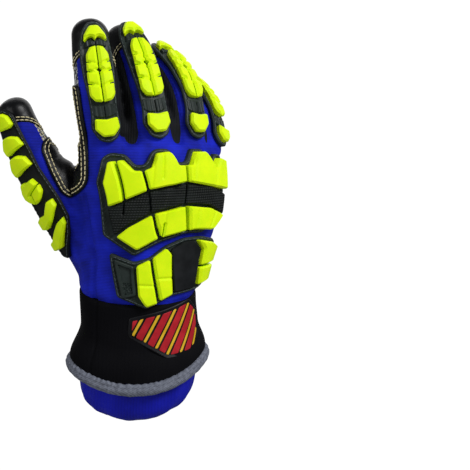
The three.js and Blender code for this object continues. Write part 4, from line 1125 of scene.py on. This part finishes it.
THUMB_OUTLINES = {
    "base": [
        (-0.2, 0.02), (0.1, 0.07), (0.72, 0.17), (1.1, 0.27), (1.1, 0.39), (1, 0.5), (0.88, 0.62),
        (0.85, 0.73), (0.7, 0.85), (0.55, 0.97), (0.2, 1.02), (-0.2, 1.02), (-0.5, 0.97),
        (-0.58, 0.85), (-0.64, 0.73), (-0.7, 0.62), (-0.78, 0.5), (-0.9, 0.3), (-1, 0.12),
        (-0.8, 0.04),
    ],
    "tip_pad": [
        (-0.3, 0.9), (0.3, 0.895), (0.48, 0.91), (0.34, 0.97), (0.12, 0.995), (-0.15, 0.995),
        (-0.36, 0.97), (-0.5, 0.915),
    ],
    "second_pad": [
        (0.05, 0.758), (0.66, 0.775), (0.5, 0.83), (0.15, 0.852), (-0.2, 0.85), (-0.42, 0.79),
        (-0.3, 0.748),
    ],
    "third_pad": [
        (0.05, 0.638), (0.68, 0.655), (0.52, 0.712), (0.15, 0.735), (-0.25, 0.73), (-0.46, 0.67),
        (-0.34, 0.625),
    ],
    "middle_pad": [
        (0, 0.435), (0.3, 0.455), (0.56, 0.49), (0.56, 0.53), (0.36, 0.585), (0, 0.575), (-0.34, 0.585),
        (-0.58, 0.53), (-0.58, 0.49), (-0.3, 0.455),
    ],
    "upper_bar": [
        (-0.6, 0.262), (-0.2, 0.258), (0.3, 0.3), (0.62, 0.345), (0.84, 0.372), (0.8, 0.42), (0.5, 0.42),
        (0.1, 0.352), (-0.3, 0.35), (-0.6, 0.335),
    ],
    "lower_bar": [
        (-0.7, 0.1), (0.02, 0.11), (0.84, 0.245), (0.86, 0.288), (0.52, 0.272), (-0.4, 0.172),
        (-0.7, 0.165),
    ],
}
KNUCKLE_OUTLINES = {
    "base": [
        (-0.83, 0.775), (-0.775, 0.928), (-0.67, 0.962), (-0.514, 0.951), (-0.405, 0.882),
        (-0.297, 0.882), (-0.209, 0.967), (-0.133, 0.986), (0, 0.985), (0.072, 0.897), (0.216, 0.895),
        (0.299, 0.984), (0.468, 0.98), (0.62, 0.868), (0.712, 0.947), (0.852, 0.936), (0.91, 0.833),
        (0.91, 0.647), (0.892, 0.52), (0.595, 0.425), (0.35, 0.427), (0.054, 0.375), (-0.18, 0.293),
        (-0.6, 0.43),
    ],
    "first_top_pad": [(-0.677, 0.9), (-0.62, 0.91), (-0.474, 0.653), (-0.605, 0.621), (-0.708, 0.771)],
    "second_top_pad": [
        (-0.582, 0.909), (-0.533, 0.916), (-0.405, 0.845), (-0.324, 0.845), (-0.245, 0.718),
        (-0.447, 0.664),
    ],
    "third_top_pad": [
        (-0.295, 0.845), (-0.218, 0.863), (-0.162, 0.955), (-0.009, 0.967), (0.081, 0.876),
        (0.16, 0.876), (0.187, 0.769), (-0.218, 0.725),
    ],
    "fourth_top_pad": [
        (0.191, 0.876), (0.263, 0.875), (0.317, 0.963), (0.454, 0.963), (0.618, 0.847), (0.695, 0.918),
        (0.811, 0.904), (0.832, 0.702), (0.216, 0.769),
    ],
    "band": [
        (-0.613, 0.604), (-0.45, 0.645), (-0.241, 0.705), (0.204, 0.751), (0.569, 0.729),
        (0.854, 0.671), (0.861, 0.534), (0.577, 0.608), (0.236, 0.629), (-0.121, 0.58),
        (-0.335, 0.506), (-0.456, 0.433),
    ],
    "first_low_pad": [(-0.42, 0.424), (-0.332, 0.482), (-0.124, 0.559), (0.016, 0.406), (-0.168, 0.337)],
    "second_low_pad": [(-0.088, 0.567), (0.223, 0.608), (0.314, 0.451), (0.05, 0.414)],
    "third_low_pad": [
        (0.268, 0.61), (0.568, 0.588), (0.811, 0.535), (0.676, 0.443), (0.443, 0.455), (0.35, 0.451),
    ],
}
WRIST_OUTLINES = {
    "base": [
        (-0.47, 0.318), (-0.16, 0.254), (-0.007, 0.276), (0.15, 0.352), (0.36, 0.398),
        (0.6, 0.402), (0.83, 0.375), (0.984, 0.335), (1.009, 0.195), (0.982, 0.075), (0.793, 0.049),
        (0.364, 0.025), (0.076, -0.055), (-0.133, 0), (-0.27, 0.03),
    ],
    "side_panel": [(-0.385, 0.276), (-0.15, 0.227), (-0.054, 0.041), (-0.2, 0.02)],
    "first_pad": [(-0.119, 0.229), (0.007, 0.268), (0.187, -0.014), (0.07, -0.037), (-0.029, 0.039)],
    "second_pad": [(0.036, 0.28), (0.155, 0.339), (0.232, 0.298), (0.341, 0.039), (0.22, 0.002)],
    "middle_panel": [
        (0.225, 0.33), (0.36, 0.375), (0.48, 0.378), (0.61, 0.32), (0.641, 0.067), (0.371, 0.049),
    ],
    "upper_side_pad": [
        (0.53, 0.382), (0.74, 0.358), (0.937, 0.318), (0.962, 0.211), (0.655, 0.21), (0.64, 0.315),
    ],
    "lower_side_pad": [(0.636, 0.196), (0.962, 0.196), (0.937, 0.092), (0.674, 0.078)],
}
print("parts of a finger, thumb, knuckle and wrist guard:", len(FINGER_OUTLINES),
      len(THUMB_OUTLINES), len(KNUCKLE_OUTLINES), len(WRIST_OUTLINES))

# %% Guards from their outlines
# The pads are moulded into the base, so their feet lie a little under its top.
PAD_FOOT = GUARD_BASE - 0.9


def base_relief(points, inside):
    """The base is moulded with a raised border, which is sewn down, and a lower floor."""
    return -0.8 * smooth_step(inside, 1.9, 2.5)


def fine_ribs(points, inside):
    """Ribs as wide as the gaps between them, across a flexible joint."""
    return 0.5 * smooth_step(np.sin(points[:, 0] * 2 * np.pi / 2.3), -0.4, 0.4) - 0.5


def recessed_dots(points, inside):
    """A frame round a lower floor, with rows of small raised squares at its low end."""
    squares = np.sin(points[:, 0] * 2 * np.pi / 2.2) * np.sin(points[:, 1] * 2 * np.pi / 2.2)
    dots = smooth_step(squares, 0.1, 0.35) * (points[:, 1] < WRIST_HEIGHT + 13)
    return (0.7 * dots - 1.3) * smooth_step(inside, 1.8, 2.2)


def guard(prefix, limb, outlines, start, length, half, aside, pad_top, corner, details):
    """A dark base plate with its pads, each drawn in shares of the guard's own size."""

    def placed(line):
        return [(aside[0] + (aside[1] - aside[0]) * y + x * half, start + y * length) for x, y in line]

    for part, shares in outlines.items():
        node, name = f"{prefix}_{part}", f"moulded_{prefix}_{part}"
        stands_for = [node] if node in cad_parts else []
        extra = {key: [placed(line) for line in lines] for key, lines in details.get(part, {}).items()}
        outline = placed(shares)
        if part == "base":
            finish = "panel rubber" if prefix == "thumb_guard" else "black rubber"
            plate(name, limb, outline, GUARD_SEAT, GUARD_BASE, finish, stands_for, 0.7, 0.6, 2.2,
                  relief=base_relief, **extra)
        elif part.endswith("joint"):
            plate(name, limb, outline, GUARD_BASE - 1.2, GUARD_BASE + 0.7, "black rubber", stands_for,
                  0.5, 0.5, 0.8, cut_width=0.7, relief=fine_ribs, step=GRID * 0.6, **extra)
        elif part == "side_panel":
            plate(name, limb, outline, PAD_FOOT, GUARD_BASE + 1.6, "black rubber", stands_for,
                  0.5, 0.5, corner, relief=recessed_dots, step=PAD_GRID * 0.8)
        elif part == "band" or part.endswith("panel"):
            top = GUARD_BASE + (pad_top - GUARD_BASE) * 0.5
            finish = "black grid rubber" if part == "band" else "panel rubber"
            plate(name, limb, outline, PAD_FOOT, top, finish, stands_for,
                  0.6, 0.7, corner, cut_width=0.9, step=PAD_GRID, **extra)
        else:
            plate(name, limb, outline, PAD_FOOT, pad_top, "bright rubber", stands_for,
                  1.1, 1.4, corner, cut_width=0.7, step=PAD_GRID, **extra)


NOTCHES = [(side, y) for side in (-1, 1) for y in (0.465, 0.565, 0.64)]
MID_PAD_DETAILS = {
    "cuts": [[(0, 0.3), (0, 0.8)]] + [[(side * 0.75, y), (side * 0.46, y - 0.008)] for side, y in NOTCHES],
    "creases": [[(side * 0.5, y), (0, y - 0.03)] for side, y in NOTCHES],
    "holes": [[(-0.17, 0.568), (0, 0.586), (0.17, 0.568), (0, 0.545)]],
}
FINGER_DETAILS = {
    "mid_pad": MID_PAD_DETAILS,
    "low_joint": {"cuts": [[(0, 0.15), (0, 0.36)]]}, "high_joint": {"cuts": [[(0, 0.7), (0, 0.9)]]},
}
THUMB_DETAILS = {"middle_pad": {"cuts": [[(-0.02, 0.43), (0.02, 0.5)], [(-0.1, 0.5), (0.6, 0.545)]]}}
for limb in digits:
    outlines, corner, details = FINGER_OUTLINES, 1.0, FINGER_DETAILS
    if limb is thumb:
        outlines, corner, details = THUMB_OUTLINES, 0.6, THUMB_DETAILS
    start, length, broad, *aside = limb.size.guard
    guard(
        f"{limb.name}_guard", limb, outlines, start * limb.length, length * limb.length,
        broad * limb.size.breadth / 2, np.array(aside) * limb.size.breadth, PAD_TOP, corner, details,
    )
KNUCKLE_DETAILS = {
    "second_low_pad": {"cuts": [[(0.063, 0.392), (0.036, 0.5)]], "creases": [[(0.036, 0.5), (0.0, 0.62)]]},
    "third_top_pad": {"creases": [[(-0.2, 0.72), (-0.19, 0.96)], [(-0.09, 0.8), (-0.085, 0.99)]]},
    "fourth_top_pad": {"creases": [[(0.27, 0.74), (0.29, 0.96)], [(0.6, 0.72), (0.6, 0.9)]]},
    "third_low_pad": {"creases": [[(0.42, 0.45), (0.4, 0.62)], [(0.6, 0.44), (0.66, 0.6)]]},
    "band": {"cuts": [
        [(-0.466, 0.66), (-0.436, 0.57)], [(-0.232, 0.73), (-0.115, 0.53)], [(0.204, 0.77), (0.235, 0.6)],
    ]},
}
WRIST_DETAILS = {
    "first_pad": {"creases": [[(-0.09, 0.11), (0.17, 0.098)]], "cuts": [[(0.13, 0.1), (0.2, 0.097)]]},
    "second_pad": {"creases": [[(0.1, 0.147), (0.33, 0.147)]], "cuts": [[(0.3, 0.147), (0.36, 0.147)]]},
}
palm_frame = (WRIST_HEIGHT, KNUCKLE_HEIGHT - WRIST_HEIGHT, PALM_BREADTH / 2, (0, 0))
guard("knuckle_guard", palm, KNUCKLE_OUTLINES, *palm_frame, PAD_TOP + 1.1, 1.2, KNUCKLE_DETAILS)
guard("wrist_guard", palm, WRIST_OUTLINES, *palm_frame, PAD_TOP, 1.2, WRIST_DETAILS)
print("guards:", sum("guard" in name for name in pieces), "pieces")

# %% [markdown]
# ## Leather patches
# Two leather pieces lie over the knit. One wraps the fork between thumb and first finger from the back
# to the palm, and one pads the palm below the fingers. Each follows the skin and is cut by an outline
# drawn flat, as a clicker press cuts it, and its edge is skived thin and rounded.

# %% The two patches
# Outlines as (x, z) seen from the back, in millimetres.
FORK_BACK = [
    (-59, 195), (-62.5, 191), (-63.3, 185), (-58, 171), (-51, 157), (-45, 152.6), (-40, 155.8),
    (-34.5, 160.5), (-32, 165.5), (-31.4, 180), (-32, 194), (-34, 208), (-36.5, 228), (-50, 228),
    (-57, 201),
]
FORK_PALM = [
    (-58, 185), (-66, 178), (-72, 170), (-71.5, 163), (-67, 158.5), (-61.5, 157.5), (-57, 156), (-56, 152),
    (-58.5, 147), (-59.5, 142), (-56, 138), (-50, 136.5), (-42, 146), (-33, 158), (-34, 165), (-36, 170),
    (-45, 188),
]
PALM_LEATHER = [
    (46, 169), (40, 173), (34, 175), (8, 180), (-9, 186.5), (-15, 185.6), (-20, 181.5), (-25, 186),
    (-27, 195), (-26, 206), (-30, 222), (-36, 226.5), (-62, 226.5), (-62, 200), (-44, 186), (-35, 168),
    (-31, 157), (-8, 142), (32, 122), (38, 120.5), (41, 124), (44, 137),
]


PATCH_EDGE, FIELD_REACH = 0.8, 18.0


def patch(name, field, low, high, stands_for):
    """A thin leather piece on the skin wherever a field is positive, with a rounded edge."""
    own = {"inside": field, "normal": skin.normal, "side": toward_palm}
    points, faces, own = cut_out(skin.points, skin.faces, own, PATCH_EDGE)
    edge = 1 - np.clip(own["inside"] / PATCH_EDGE, 0, 1)
    outer = points + own["normal"] * (high - 0.6 * (high - low) * edge**2)[:, None]
    sheets[name] = SimpleNamespace(
        points=outer, faces=faces, normal=own["normal"], inside=own["inside"], side=own["side"]
    )
    inner = points + own["normal"] * low
    return piece(name, *closed_wall(outer, inner, faces), "black leather", stands_for, 50)


def outline_field(outline):
    """Signed distance of the skin to an outline with rounded corners, worked out only near it."""
    outline = rounded(outline, 3.0)
    low, high = outline.min(0) - FIELD_REACH, outline.max(0) + FIELD_REACH
    near = np.all((from_back > low) & (from_back < high), axis=1)
    field = np.full(len(from_back), -FIELD_REACH)
    field[near] = outline_distance(from_back[near], outline)
    return field


toward = smooth_step(toward_palm, -0.25, 0.25)
fork = (1 - toward) * outline_field(FORK_BACK) + toward * outline_field(FORK_PALM)
# Above the fork it keeps to the back, because the palm leather takes over beside the first finger.
above_fork = smooth_step(skin.points[:, 2], 176, 190)
fork = np.minimum(fork, (-0.13 - toward_palm) * 12 + 40 * (1 - above_fork))
patch("fork_leather", fork, 0.55, 1.75, ["saddle_patch", "thumb_patch"])
palm_field = np.minimum(outline_field(PALM_LEATHER), (toward_palm + 0.1) * 10)
patch("palm_leather", palm_field, 0.3, 1.5, ["palm_patch", "index_side_patch"])
print("leather:", [len(sheets[name].points) for name in ("fork_leather", "palm_leather")], "points")

# %% [markdown]
# ## Cuff, piping and inner cuff
# The cuff is neoprene, thick and smooth, so it keeps a round tube shape with only shallow waves. A grey
# elastic binding is rolled over its hem, and a blue knit inner cuff hangs inside and gathers below.

# %% Heights of the hem and the cuff seam
def surface_normal(angle):
    return unit(np.stack([np.cos(angle), -np.sin(angle), 0 * angle], 1))


def hem_at(angle):
    return HEM_HEIGHT + HEM_CLIMB * np.cos(angle) ** 2 + HEM_TILT * np.cos(angle)


def cuff_seam_at(angle, grow=0.0):
    height = np.full_like(angle, CUFF_SEAM_HEIGHT)
    for _ in range(5):
        place = surface_point(palm, height, angle, grow)
        height = CUFF_SEAM_HEIGHT + CUFF_SEAM_SLOPE * place[:, 1] - CUFF_SEAM_TILT * place[:, 0]
    return height


def hem_ring(angle, grow):
    """The hem's plan shape, which bulges at the thumb side of the back, where the glove was laid."""
    bulge = 2.0 * bell(angle - 2.65, 0.5)
    return surface_point(palm, HEM_HEIGHT, angle, grow) + surface_normal(angle) * bulge[:, None]


print("hem at the back and at a side:", hem_at(np.pi / 2).round(1), hem_at(0.0).round(1), "mm")

# %% The cuff
ROUND = around(300)
SIDE_SEAM = 2.33


def tube_wall(name, rings_out, rings_in, material, stands_for):
    """A tube open at both ends, with a thickness."""
    count, sides = rings_out.shape[:2]
    outer, faces = ring_mesh(rings_out)
    outer, faces = outer[:count * sides], faces[:-2 * sides]
    inner = rings_in.reshape(-1, 3)
    faces = facing_out(outer, faces, inner)
    return piece(name, *closed_wall(outer, inner, faces), material, stands_for, 50)


def cuff_rings(grow, waves):
    """Rings from the hem to the wrist seam, with slack waves, a side seam and a sewn top edge."""
    rings = []
    low, high = hem_at(ROUND), cuff_seam_at(ROUND, grow)
    for share in np.linspace(0, 1, 60):
        height = low + (high - low) * share
        slack = np.sin(np.pi * share)
        wave = slack * (0.9 * np.sin(3 * ROUND + 2.2) + 0.5 * np.sin(7 * ROUND + 5 * share))
        top_seam = 0.9 * bell((1 - share) * 60, 1.6)
        side_seam = 0.7 * bell((ROUND - SIDE_SEAM) * 44, 1.3)
        moved = surface_normal(ROUND) * ((wave - top_seam - side_seam) * waves)[:, None]
        ring = surface_point(palm, height, ROUND, grow)
        flare = smooth_step(0.45 - share, 0, 0.45)
        ring[:, :2] += flare * (hem_ring(ROUND, grow) - ring)[:, :2]
        rings.append(ring + moved)
    return np.array(rings)


tube_wall("neoprene_cuff", cuff_rings(0.0, 1.0), cuff_rings(-NEOPRENE_WALL, 0.0), "neoprene", ["cuff"])
print("cuff:", len(pieces["neoprene_cuff"].data.vertices), "points")

# %% The piping
PIPING, PIPING_JOIN = 7.0, 4.92


def piping_rings(sides=28):
    """A rolled tape round the hem: its upper lip is ruffled by the seam, and its join is thicker."""
    angle = around(720)
    z = hem_at(angle) - 0.3 - PIPING * 0.6
    middle = hem_ring(angle, -1.5)
    outward = surface_normal(angle)
    ripple = 1 + 0.02 * np.sin(23 * angle) + 0.02 * np.sin(41 * angle + 1)
    ripple += 0.18 * smooth_step(0.09 - np.abs(angle - PIPING_JOIN), 0, 0.03)
    ruffle = 0.35 * np.sin(70 * angle + 2 * np.sin(9 * angle))
    rings = []
    for turn in around(sides):
        lip = smooth_step(np.sin(turn), 0.45, 0.9)
        groove = 0.7 * bell(np.sin(turn) - 0.35, 0.16) * (np.cos(turn) > 0)
        out = np.cos(turn) * PIPING * 0.5 * ripple + 1.0 - groove
        up = np.sin(turn) * PIPING * 0.6 * ripple + lip * ruffle
        rings.append(middle * (1, 1, 0) + out[:, None] * outward + Z * (z + up)[:, None])
    return np.array(rings).transpose(1, 0, 2)


points, faces = ring_mesh(piping_rings(), closed=True)
piece("hem_binding", points, facing_out(points, faces), "grey binding", ["piping"])
print("binding:", len(points), "points")

# %% The inner cuff
INNER_ROWS = [(-0.42, 0.9), (0.15, 0.965), (0.6, 0.93), (0.86, 0.82), (1, 0.64)]
INNER_DRIFT = 2.5


def inner_rings(grow):
    rings = []
    for down in np.linspace(-0.42, 1, 60):
        size = table_at(INNER_ROWS, down)[0]
        z = (hem_at(ROUND) - 6) * (1 - down) + 5 * np.cos(ROUND) ** 2 * smooth_step(down, 0.4, 1)
        folds = 0.9 * np.sin(9 * ROUND + 4 * down) * smooth_step(down, 0.2, 1)
        folds = folds + 0.5 * np.sin(17 * ROUND - 3 * down)
        x = signed_power(np.cos(ROUND), 2 / WRIST_SQUARE) * ((HEM_BREADTH / 2 - 4.5) * size + grow)
        y = signed_power(np.sin(ROUND), 2 / WRIST_SQUARE) * ((HEM_DEPTH / 2 - 4) * size + grow)
        ring = np.stack([x - INNER_DRIFT * max(0, down), -y, z], 1)
        rings.append(ring + surface_normal(ROUND) * (0.6 * folds - 0.5)[:, None])
    return np.array(rings)


tube_wall(
    "knit_inner_cuff", inner_rings(0.0), inner_rings(-INNER_CUFF_WALL), "blue satin", ["inner_cuff"]
)
print("inner cuff:", len(pieces["knit_inner_cuff"].data.vertices), "points")

# %% Pull tab
# The tab is sewn under the palm's edge and is free at its low end, where a finger pulls it.
TAB_OUTLINE = [
    (-92, 98), (-83, 99), (-76, 90), (-77, 74), (-86, 55), (-98, 34), (-95, 27), (-98, 15), (-106, 9),
    (-115, 10), (-122, 18), (-124, 28), (-118, 36), (-112, 50), (-106, 72), (-99, 91),
]
TAB_HOLE = [(-109.5 + 3.4 * math.cos(a), 22.5 + 4.0 * math.sin(a)) for a in np.radians(range(30, 390, 60))]


def tab_lift(points):
    s = points[:, 1]
    low_end = 4.5 * smooth_step(HEM_HEIGHT + 34 - s, 0, 22)
    return low_end + 4 * smooth_step(s - WRIST_HEIGHT, -6, 12)


def tab_relief(points, inside):
    """Two nested outlines, one step down and one step up."""
    return 0.7 * (smooth_step(inside, 6.4, 6.9) - smooth_step(inside, 2.6, 3.1))


plate(
    "moulded_pull_tab", palm, TAB_OUTLINE, 0.75, 3.75, "bright rubber", ["pull_tab"], 0.7, 0.6, 3.0,
    holes=[TAB_HOLE], lift=tab_lift, relief=tab_relief,
)
print("pull tab:", len(pieces["moulded_pull_tab"].data.vertices), "points")

# %% Printed patch
# The patch carries plain slanted stripes only: a dark ground with a rim, red bars and thin yellow ones.
BADGE_OUTLINE = [(-8, 62), (-7, 74.5), (14, 78.5), (36, 84.5), (46, 76), (48, 58), (44, 48), (18, 46)]
badge_border = rounded(BADGE_OUTLINE, 2.0)


def stripe(middle, width):
    """A slanted bar across the whole patch, round a place along its length."""
    low, high, slant = 40, 90, 0.55
    edges = [(middle - width / 2, low), (middle + width / 2, low)]
    return edges + [(x + slant * (high - low), high) for x in (middle + width / 2, middle - width / 2)]


def rim_relief(points, inside):
    return -0.35 * smooth_step(inside, 1.2, 1.5)


plate("printed_patch", palm, BADGE_OUTLINE, 0.3, 1.35, "black print", ["cuff_badge"], 0.5, 0.3, 2.0,
      relief=rim_relief)
# Colour, shift along the patch, width and top of the two bars in each step.
BARS = [("red", 0, 5.2, 1.5), ("yellow", 4.8, 2.0, 1.42)]
for k, middle in enumerate(range(-22, 38, 10)):
    for colour, shift, width, top in BARS:
        plate(f"{colour}_stripe_{k}", palm, stripe(middle + shift, width), 0.85, top, f"{colour} print", (),
              0.3, 0.15, 0.3, within=(badge_border, 2.4))
print("cuff pieces:", [name for name in pieces if "cuff" in name or "stripe" in name])

# %% [markdown]
# ## Sewing
# A row of stitches keeps an even distance from an edge. The distances to the edges are known on every
# sheet, so a row is the line where a distance has one value, and stitches are set along it at an even
# step. Each stitch is a short round thread that bows up in its middle and dives at both ends.

# %% Level lines
def level_lines(points, faces, field, level, carried):
    """Lines of places, with carried values, along which a field on a skin has one value."""
    field = np.where(field == level, 1e-6, field - level)
    sides = np.stack([faces, np.roll(faces, -1, 1)], -1)
    crossing = field[sides[..., 0]] * field[sides[..., 1]] < 0
    hit = crossing.sum(1) == 2
    ends = np.sort(sides[hit][crossing[hit]], 1)
    keys, index = np.unique(ends, axis=0, return_inverse=True)
    share = (field[keys[:, 0]] / (field[keys[:, 0]] - field[keys[:, 1]]))[:, None]
    data = np.hstack([points, carried])
    data = data[keys[:, 0]] + share * (data[keys[:, 1]] - data[keys[:, 0]])
    links = {}
    for a, b in index.reshape(-1, 2).tolist():
        links.setdefault(a, []).append(b)
        links.setdefault(b, []).append(a)
    lines, seen = [], set()
    for start in [k for k, near in links.items() if len(near) == 1] + list(links):
        if start in seen:
            continue
        line, ahead = [], [start]
        while ahead:
            line.append(ahead[0])
            seen.add(ahead[0])
            ahead = [k for k in links[line[-1]] if k not in seen]
        if len(line) > 8:
            lines.append(data[line])
    return lines


def evened(line, pitch):
    """A line's columns at even steps, after smoothing out the skin's triangles, with its way."""
    for _ in range(4):
        line = np.vstack([line[:1], (line[:-2] + 2 * line[1:-1] + line[2:]) / 4, line[-1:]])
    length = np.concatenate([[0], np.cumsum(np.linalg.norm(np.diff(line[:, :3], axis=0), axis=1))])
    at = np.arange(pitch / 2, length[-1], pitch)

    def columns(places, count):
        return np.stack([np.interp(places, length, line[:, k]) for k in range(count)], 1)

    return columns(at, line.shape[1]), unit(columns(at + 0.6, 3) - columns(at - 0.6, 3))


def squared(normal, way):
    """Normals made square to the way of a line."""
    return unit(normal - way * (normal * way).sum(1)[:, None])


# %% Stitches
STITCH_PITCH, STITCH_LENGTH, STITCH_RADIUS, BORDER_RADIUS = 3.3, 2.9, 0.36, 0.22


def thread_shape(thick):
    """One stitch along x: rings that swell in the middle, bow up and dive at the ends."""
    rings = []
    for t in (-1, -0.7, 0, 0.7, 1):
        radius, bow = thick * math.sqrt(1.15 - t * t * 0.95), thick * (0.55 - 0.9 * t * t)
        along = t * STITCH_LENGTH / 2
        rings.append([(along, radius * math.cos(a), bow + radius * math.sin(a)) for a in around(6)])
    points, faces = ring_mesh(rings)
    return points, facing_out(points, faces)


def sew(name, sheet, rows, thread="cream thread", allowed=None):
    """Stitches along rows of a sheet, each row being a field and its level."""
    if allowed is None:
        allowed = np.ones(len(sheet.points))
    shape, shape_faces = thread_shape(STITCH_RADIUS if thread == "cream thread" else BORDER_RADIUS)
    carried = np.column_stack([sheet.normal, allowed])
    points, faces, count = [], [], 0
    for field, level in rows:
        for line in level_lines(sheet.points, sheet.faces, field, level, carried):
            marks, way = evened(line, STITCH_PITCH)
            keep = marks[:, 6] > 0
            place, way = marks[keep, :3], way[keep]
            normal = squared(marks[keep, 3:6], way)
            frames = np.stack([way, np.cross(normal, way), normal], 1)
            made = place[:, None] + shape @ frames
            points.append(made.reshape(-1, 3))
            faces += [shape_faces + (count + k) * len(shape) for k in range(len(made))]
            count += len(made)
    if count:
        piece(name, np.vstack(points), np.vstack(faces), thread, (), 60)
    return count


print("one stitch:", len(thread_shape(STITCH_RADIUS)[0]), "points")

# %% Rows of stitches
hand = SimpleNamespace(points=hand_points, faces=hand_faces, normal=values["normal"])
total = 0
near = np.stack([values["near_" + limb.name] for limb in digits])
for k, limb in enumerate(digits):
    own = np.where(near.argmax(0) == k, 1.0, -1.0)
    rows = [(values["cap"], level) for level in (1.5, 3.5)]
    total += sew(f"{limb.name}_cap_stitches", hand, rows, allowed=own)
for name in ("fork_leather", "palm_leather"):
    sheet = sheets[name]
    total += sew(f"{name}_stitches", sheet, [(sheet.inside, 1.6), (sheet.inside, 3.7)])
# The palm leather is quilted along two channels, drawn as (x, z) seen from the back.
CHANNELS = [
    [(60, 156), (-9, 178), (-14, 176), (-15, 172), (-12, 168), (60, 141)],
    [(60, 127), (-60, 189), (-60, 60), (60, 60)],
]
sheet = sheets["palm_leather"]
flat = sheet.points[:, [0, 2]]
rows = [(outline_distance(flat, rounded(line, 3.0)), 0.5) for line in CHANNELS]
allowed = np.minimum(sheet.inside - 4.5, sheet.side - 0.15)
total += sew("palm_channel_stitches", sheet, rows, allowed=allowed)
for name in [name for name in sheets if name.endswith("_base")]:
    total += sew(f"{name}_stitches", sheets[name], [(sheets[name].inside, 1.25)], "dark thread")
# Two rows close the seam along the thumb's inner side, from the cap to the fork leather.
inner_side = np.minimum(values["near_thumb"] + 2.0, values["thumb_side"] * 10)
inner_side = np.minimum(inner_side, -values["cap"] - 1)
rows = [(values["back"], level) for level in (1.6, -1.6)]
total += sew("thumb_seam_stitches", hand, rows, allowed=inner_side)
print("stitches:", total)

# %% A welt on the thumb's outer seam
WELT_LIFT, WELT_RADIUS = 0.9, 1.0
outer_side = np.minimum(values["near_thumb"] + 2.5, -values["thumb_side"] * 10)
outer_side = np.minimum(outer_side, -values["cap"])
carried = np.column_stack([hand.normal, outer_side])
welts = []
for line in level_lines(hand.points, hand.faces, values["back"], 0.02, carried):
    marks, way = evened(line, 1.2)
    keep = marks[:, 6] > 0
    if keep.sum() > len(welts):
        welts = np.hstack([marks[keep], way[keep]])
place, way = welts[:, :3], welts[:, 7:10]
normal = squared(welts[:, 3:6], way)
across = np.cross(normal, way)
turn = around(10)
rings = [
    p + n * WELT_LIFT + WELT_RADIUS * (np.outer(np.cos(turn), a) + np.outer(np.sin(turn), n))
    for p, n, a in zip(place, normal, across)
]
points, faces = ring_mesh(rings)
piece("thumb_seam_welt", points, facing_out(points - points.mean(0), faces), "black fabric")
print("welt:", len(rings), "rings")

# %% [markdown]
# ## The studio
# A catalogue picture shows the glove cut out on white, so there is no floor or wall, only a white sky.
# A large soft lamp at the upper right in front models the guards, and a weaker one fills from the left.
# The camera stands where the photographer's did, a little above the cuff.

# %% Lamps and sky
LAMP_AIM = Vector((0, 0, 0.14))


def lamp(name, place, width, power):
    data = bpy.data.lights.new(name, "AREA")
    data.shape, data.size, data.size_y, data.energy = "RECTANGLE", width, width * 0.7, power
    made = bpy.data.objects.new(name, data)
    made.location = place
    made.rotation_euler = (LAMP_AIM - Vector(place)).to_track_quat("-Z", "Y").to_euler()
    bpy.context.scene.collection.objects.link(made)


lamp("key", (0.9, -0.8, 1.1), 0.7, 17)
lamp("fill", (-1.1, -0.9, 0.6), 1.0, 4)
lamp("back", (0.2, 1.2, 0.9), 2.2, 11)
# The sky is plain white where the camera sees it, dimmer as a light, like paper far behind, and
# dimmer still in reflections, because black screens beside the glove kept its leather dark.
SKY_SEEN, SKY_LIGHT, SKY_MIRRORED = 1.05, 0.42, 0.12
world = bpy.data.worlds.new("studio")
world.use_nodes = True
sky = world.node_tree
ground = sky.nodes["Background"]
ground.inputs["Color"].default_value = (1, 1, 1, 1)
path = add_node(sky, "LightPath")
strength = add_node(
    sky, "MapRange", {"Value": path.outputs["Is Camera Ray"], "To Min": SKY_LIGHT, "To Max": SKY_SEEN}
)
add_node(
    sky, "Math", {0: path.outputs["Is Glossy Ray"], 1: SKY_MIRRORED - SKY_LIGHT, 2: strength.outputs[0]},
    ground.inputs["Strength"], operation="MULTIPLY_ADD",
)
bpy.context.scene.world = world
bpy.context.scene.view_settings.view_transform = "Standard"
print("lamps:", [light.name for light in bpy.data.lights])

# %% The camera
CAMERA_PLACE = Vector((-0.0165, -0.580, 0.196))
CAMERA_WAY = Vector((0.14458, 0.98217, -0.12017))
PHOTO_SIDE, FOCAL_PIXELS, SENSOR = 470, 833, 36.0
camera = bpy.data.objects.new("camera", bpy.data.cameras.new("camera"))
camera.data.sensor_width = SENSOR
camera.data.lens = FOCAL_PIXELS / PHOTO_SIDE * SENSOR
camera.location = CAMERA_PLACE
camera.rotation_euler = CAMERA_WAY.to_track_quat("-Z", "Y").to_euler()
bpy.context.scene.collection.objects.link(camera)
bpy.context.scene.camera = camera
print("focal length:", round(camera.data.lens, 1), "mm")
